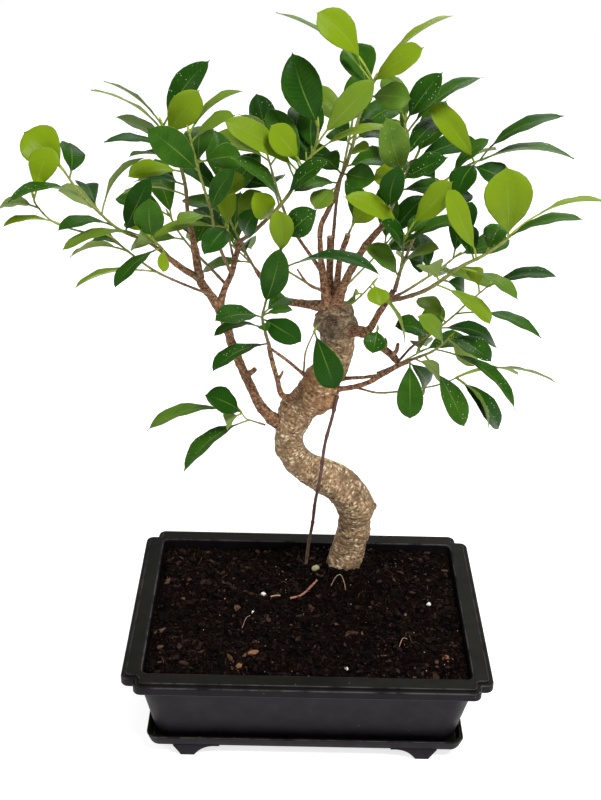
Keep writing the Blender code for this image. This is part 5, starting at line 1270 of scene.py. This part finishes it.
def root_finish():
    """The hanging root: thin dark bark, drier and lighter near the soil."""
    look = Finish("root_bark_finish", 0.75, 0.3)
    down = look.mark("down")[0]
    flecks = look.cloud(look.scaled(look.place, (1, 1, 0.3)), 700.0, 4.0, 0.6)
    dark = look.ramp(flecks, ((0.3, (58, 38, 34)), (0.7, (106, 76, 66))))
    dry = look.ramp(flecks, ((0.3, (104, 80, 66)), (0.7, (158, 130, 108))))
    look.set("Base Color", look.mix(look.step(down, 0.72, 0.98), dark, dry))
    look.set("Normal", look.bump(flecks, 0.3))
    return look.material


def leaf_finish():
    """A waxy ficus leaf. Its tone runs from old dark green to young yellow-green, with a
    pale midrib, faint side veins, a pale margin, a paler underside and drops of lime."""
    look = Finish("ficus_leaf", 0.36, 0.07)
    share, across, under = look.mark("blade")[:3]
    tone, luck, other = look.mark("kind")[:3]
    uneven = look.cloud(look.place, 95.0, 3.0, 0.5)
    shade = look.calc("MULTIPLY_ADD", look.calc("SUBTRACT", uneven, 0.5), 0.35)
    look.tree.links.new(tone, shade.node.inputs[2])
    upper = look.ramp(shade, (
        (0.0, (26, 64, 9)), (0.25, (52, 90, 18)), (0.50, (90, 116, 38)),
        (0.78, (102, 126, 22)), (1.0, (108, 132, 14)),
    ))
    back = look.ramp(shade, ((0.0, (100, 124, 72)), (0.6, (122, 142, 72)), (1.0, (142, 160, 58))))
    colour = look.mix(under, upper, back)
    edge = look.calc("ABSOLUTE", across)
    vein = look.calc("MULTIPLY_ADD", share, 15.0)
    look.tree.links.new(look.calc("MULTIPLY", edge, -1.9), vein.node.inputs[2])
    wave = look.calc("ABSOLUTE", look.calc("SUBTRACT", look.calc("FRACT", vein), 0.5))
    side_vein = look.calc("MULTIPLY", look.step(wave, 0.10, 0.0), look.step(edge, 0.95, 0.6))
    colour = look.mix(look.calc("MULTIPLY", side_vein, 0.05), colour, (138, 168, 84))
    rib = look.step(edge, 0.06, 0.02)
    narrowing = look.step(share, 1.0, 0.2)
    rib = look.calc("MULTIPLY", rib, narrowing)
    colour = look.mix(look.calc("MULTIPLY", rib, 0.42), colour, (128, 156, 66))
    margin = look.step(edge, 0.955, 0.992)
    colour = look.mix(look.calc("MULTIPLY", margin, 0.45), colour, (158, 178, 90))
    drops = look.spots(look.place, 520.0, 0.10, 0.10, 0.45)
    limed = look.calc("MULTIPLY", drops, look.calc("GREATER_THAN", other, 0.55))
    limed = look.calc("MULTIPLY", limed, look.calc("SUBTRACT", 1.0, under))
    limed = look.calc("MULTIPLY", limed, look.step(tone, 0.7, 0.3))
    colour = look.mix(look.calc("MULTIPLY", limed, 0.7), colour, (206, 216, 190))
    stalk = look.step(share, 0.02, -0.03)
    stalk_green = look.ramp(tone, ((0.0, (112, 130, 56)), (1.0, (148, 164, 62))))
    colour = look.mix(stalk, colour, stalk_green)
    look.set("Base Color", colour)
    look.set("Roughness", look.ramp(look.calc("ADD", luck, under), (
        (0.0, (150, 150, 150)), (0.9, (174, 174, 174)), (1.0, (194, 194, 194)))))
    sunk_vein = look.calc("MULTIPLY", side_vein, -0.08)
    relief = look.calc("ADD", sunk_vein, look.cloud(look.place, 420.0, 2.0))
    look.set("Normal", look.bump(relief, 0.22))
    return look.material


def twig_finish():
    """A leafy twig: brown bark with cream dots, green and smooth towards its end."""
    look = Finish("twig_bark", 0.6, 0.35)
    share = look.mark("twig")[0]
    flecks = look.cloud(look.place, 620.0, 3.0, 0.6)
    old = look.ramp(flecks, ((0.3, (84, 58, 38)), (0.7, (142, 110, 78))))
    young = look.ramp(flecks, ((0.3, (104, 110, 50)), (0.7, (146, 150, 72))))
    colour = look.mix(look.step(share, 0.12, 0.62), old, young)
    dots = look.spots(look.place, 620.0, 0.16, 0.10, 0.5)
    colour = look.mix(look.calc("MULTIPLY", dots, 0.6), colour, (214, 200, 160))
    look.set("Base Color", colour)
    look.set("Normal", look.bump(look.calc("ADD", flecks, dots), 0.22))
    return look.material


def soil_finish():
    """Potting soil: near-black peat, browner on its dry crumbs."""
    look = Finish("potting_soil", 0.95, 0.0)
    fine = look.cloud(look.place, 430.0, 6.0, 0.72)
    broad = look.cloud(look.place, 70.0, 3.0, 0.6)
    colour = look.ramp(fine, (
        (0.32, (5, 3, 3)), (0.52, (17, 11, 9)), (0.64, (40, 28, 23)), (0.80, (76, 54, 42)),
    ))
    colour = look.mix(look.step(broad, 0.52, 0.34), colour, (8, 6, 6))
    bright = look.spots(look.place, 340.0, 0.10, 0.08, 0.07)
    colour = look.mix(bright, colour, (168, 148, 120))
    look.set("Base Color", colour)
    look.set("Normal", look.bump(look.cloud(look.place, 520.0, 5.0, 0.75), 1.2))
    return look.material


def crumb_finish():
    """Loose crumbs: each has its own tone, from black peat to brown bark and tan wood."""
    look = Finish("soil_crumbs_finish", 0.80, 0.04)
    tone = look.mark("crumb")[0]
    own = look.ramp(tone, (
        (0.0, (8, 5, 4)), (0.60, (20, 13, 11)), (0.84, (44, 31, 26)), (0.96, (70, 50, 40)),
        (1.0, (112, 86, 66)),
    ))
    fine = look.cloud(look.place, 900.0, 4.0, 0.7)
    look.set("Base Color", look.mix(look.step(fine, 0.42, 0.68), own, (10, 8, 7)))
    look.set("Normal", look.bump(fine, 0.5))
    return look.material


def bit_finish(name, dark, light, per_metre=900.0, roughness=0.85):
    """A small loose thing: two tones in fine clouds, which are its relief too."""
    look = Finish(name, roughness, 0.3)
    fine = look.cloud(look.place, per_metre, 4.0, 0.65)
    look.set("Base Color", look.ramp(fine, ((0.3, dark), (0.7, light))))
    look.set("Normal", look.bump(fine, 0.4))
    return look.material


# ---------------------------------------------------------------------------
# The studio


def make_camera():
    """The camera where the drawing's eye is: turned a little right, pitched down and
    rolled, its axes worked out from those three angles."""
    yaw, pitch, roll = math.radians(YAW), math.radians(PITCH), math.radians(ROLL)
    ahead = np.array([
        math.sin(yaw) * math.cos(pitch), math.cos(yaw) * math.cos(pitch), -math.sin(pitch)])
    level = np.array([math.cos(yaw), -math.sin(yaw), 0.0])
    upright = np.cross(level, ahead)
    right = level * math.cos(roll) + upright * math.sin(roll)
    up = upright * math.cos(roll) - level * math.sin(roll)
    data = bpy.data.cameras.new("view")
    data.lens, data.sensor_width = 56.25, 36.0
    data.clip_start, data.clip_end = 0.05, 50.0
    camera = bpy.data.objects.new("view", data)
    turned = Matrix([(*row, 0.0) for row in np.column_stack([right, up, -ahead])] + [(0, 0, 0, 1)])
    place = (np.array(CAMERA) + SHIFT) * MM
    camera.matrix_world = Matrix.Translation(place) @ turned
    bpy.context.scene.collection.objects.link(camera)
    bpy.context.scene.camera = camera


def add_light(name, place, target, size, power):
    """A white round lamp, turned from its place to its target."""
    data = bpy.data.lights.new(name, "AREA")
    data.shape, data.size, data.energy = "DISK", size, power
    light = bpy.data.objects.new(name, data)
    light.location = place
    light.rotation_euler = (Vector(target) - Vector(place)).to_track_quat("-Z", "Y").to_euler()
    bpy.context.scene.collection.objects.link(light)


def make_studio():
    """A wide near-white floor, a white surrounding and three soft lights."""
    bpy.context.scene.view_settings.view_transform = "Standard"
    mesh = bpy.data.meshes.new("studio_floor")
    mesh.from_pydata([(-9, -9, 0), (9, -9, 0), (9, 9, 0), (-9, 9, 0)], [], [(0, 1, 2, 3)])
    floor = bpy.data.objects.new("studio_floor", mesh)
    bpy.context.scene.collection.objects.link(floor)
    paper = Finish("studio_paper", 0.9, 0.1)
    paper.shader.inputs["Base Color"].default_value = (0.70, 0.70, 0.70, 1.0)
    paper.shader.inputs["Emission Color"].default_value = (1.0, 1.0, 1.0, 1.0)
    paper.shader.inputs["Emission Strength"].default_value = 0.74
    mesh.materials.append(paper.material)
    world = bpy.data.worlds.new("studio")
    bpy.context.scene.world = world
    world.use_nodes = True
    world.node_tree.nodes["Background"].inputs["Color"].default_value = (1.0, 1.0, 1.0, 1.0)
    world.node_tree.nodes["Background"].inputs["Strength"].default_value = 0.30
    add_light("key", (0.7, -0.9, 2.0), (0, 0, 0.25), 0.7, 46.0)
    add_light("fill", (-1.4, -0.5, 1.2), (0, 0, 0.25), 1.2, 8.0)
    add_light("back", (0.3, 1.3, 1.6), (0, 0, 0.30), 1.2, 14.0)


# ---------------------------------------------------------------------------
# Everything

PLASTIC = plastic_finish("pot_black_plastic")
make_pot(PLASTIC)
make_tray(PLASTIC)
make_soil(soil_finish())
CRUMBS = crumb_finish()
make_crumbs(CRUMBS, np.random.default_rng(11))
make_fibres(CRUMBS, np.random.default_rng(12))
PERLITE = bit_finish("perlite_white", (196, 190, 178), (244, 242, 234))
TAN = bit_finish("chip_tan", (84, 54, 34), (156, 108, 68))
PINK = bit_finish("dead_twig_pink", (116, 68, 52), (182, 128, 104))
PALE = bit_finish("rootlet_pale", (130, 98, 76), (188, 156, 126))
for row in PERLITE_LUMPS:
    make_lump(*row, PERLITE, "perlite")
PEBBLE_STONE = bit_finish("pebble_pale", (112, 108, 78), (168, 160, 124))
make_lump(*PEBBLE, PEBBLE_STONE, "perlite")
for row in CHIPS:
    make_lump(*row, TAN, "bark_chip")
make_loose_twigs(PINK, PALE)

WOOD = make_wood(bark_finish())
ROOT = make_root(root_finish())
LEAF_LOOKS = [leaf_finish(), twig_finish()]
for number, (shoot, radius, path, leaves) in enumerate(SHOOTS):
    make_shoot(shoot, radius, path, leaves, LEAF_LOOKS, np.random.default_rng(100 + number))

make_studio()
make_camera()
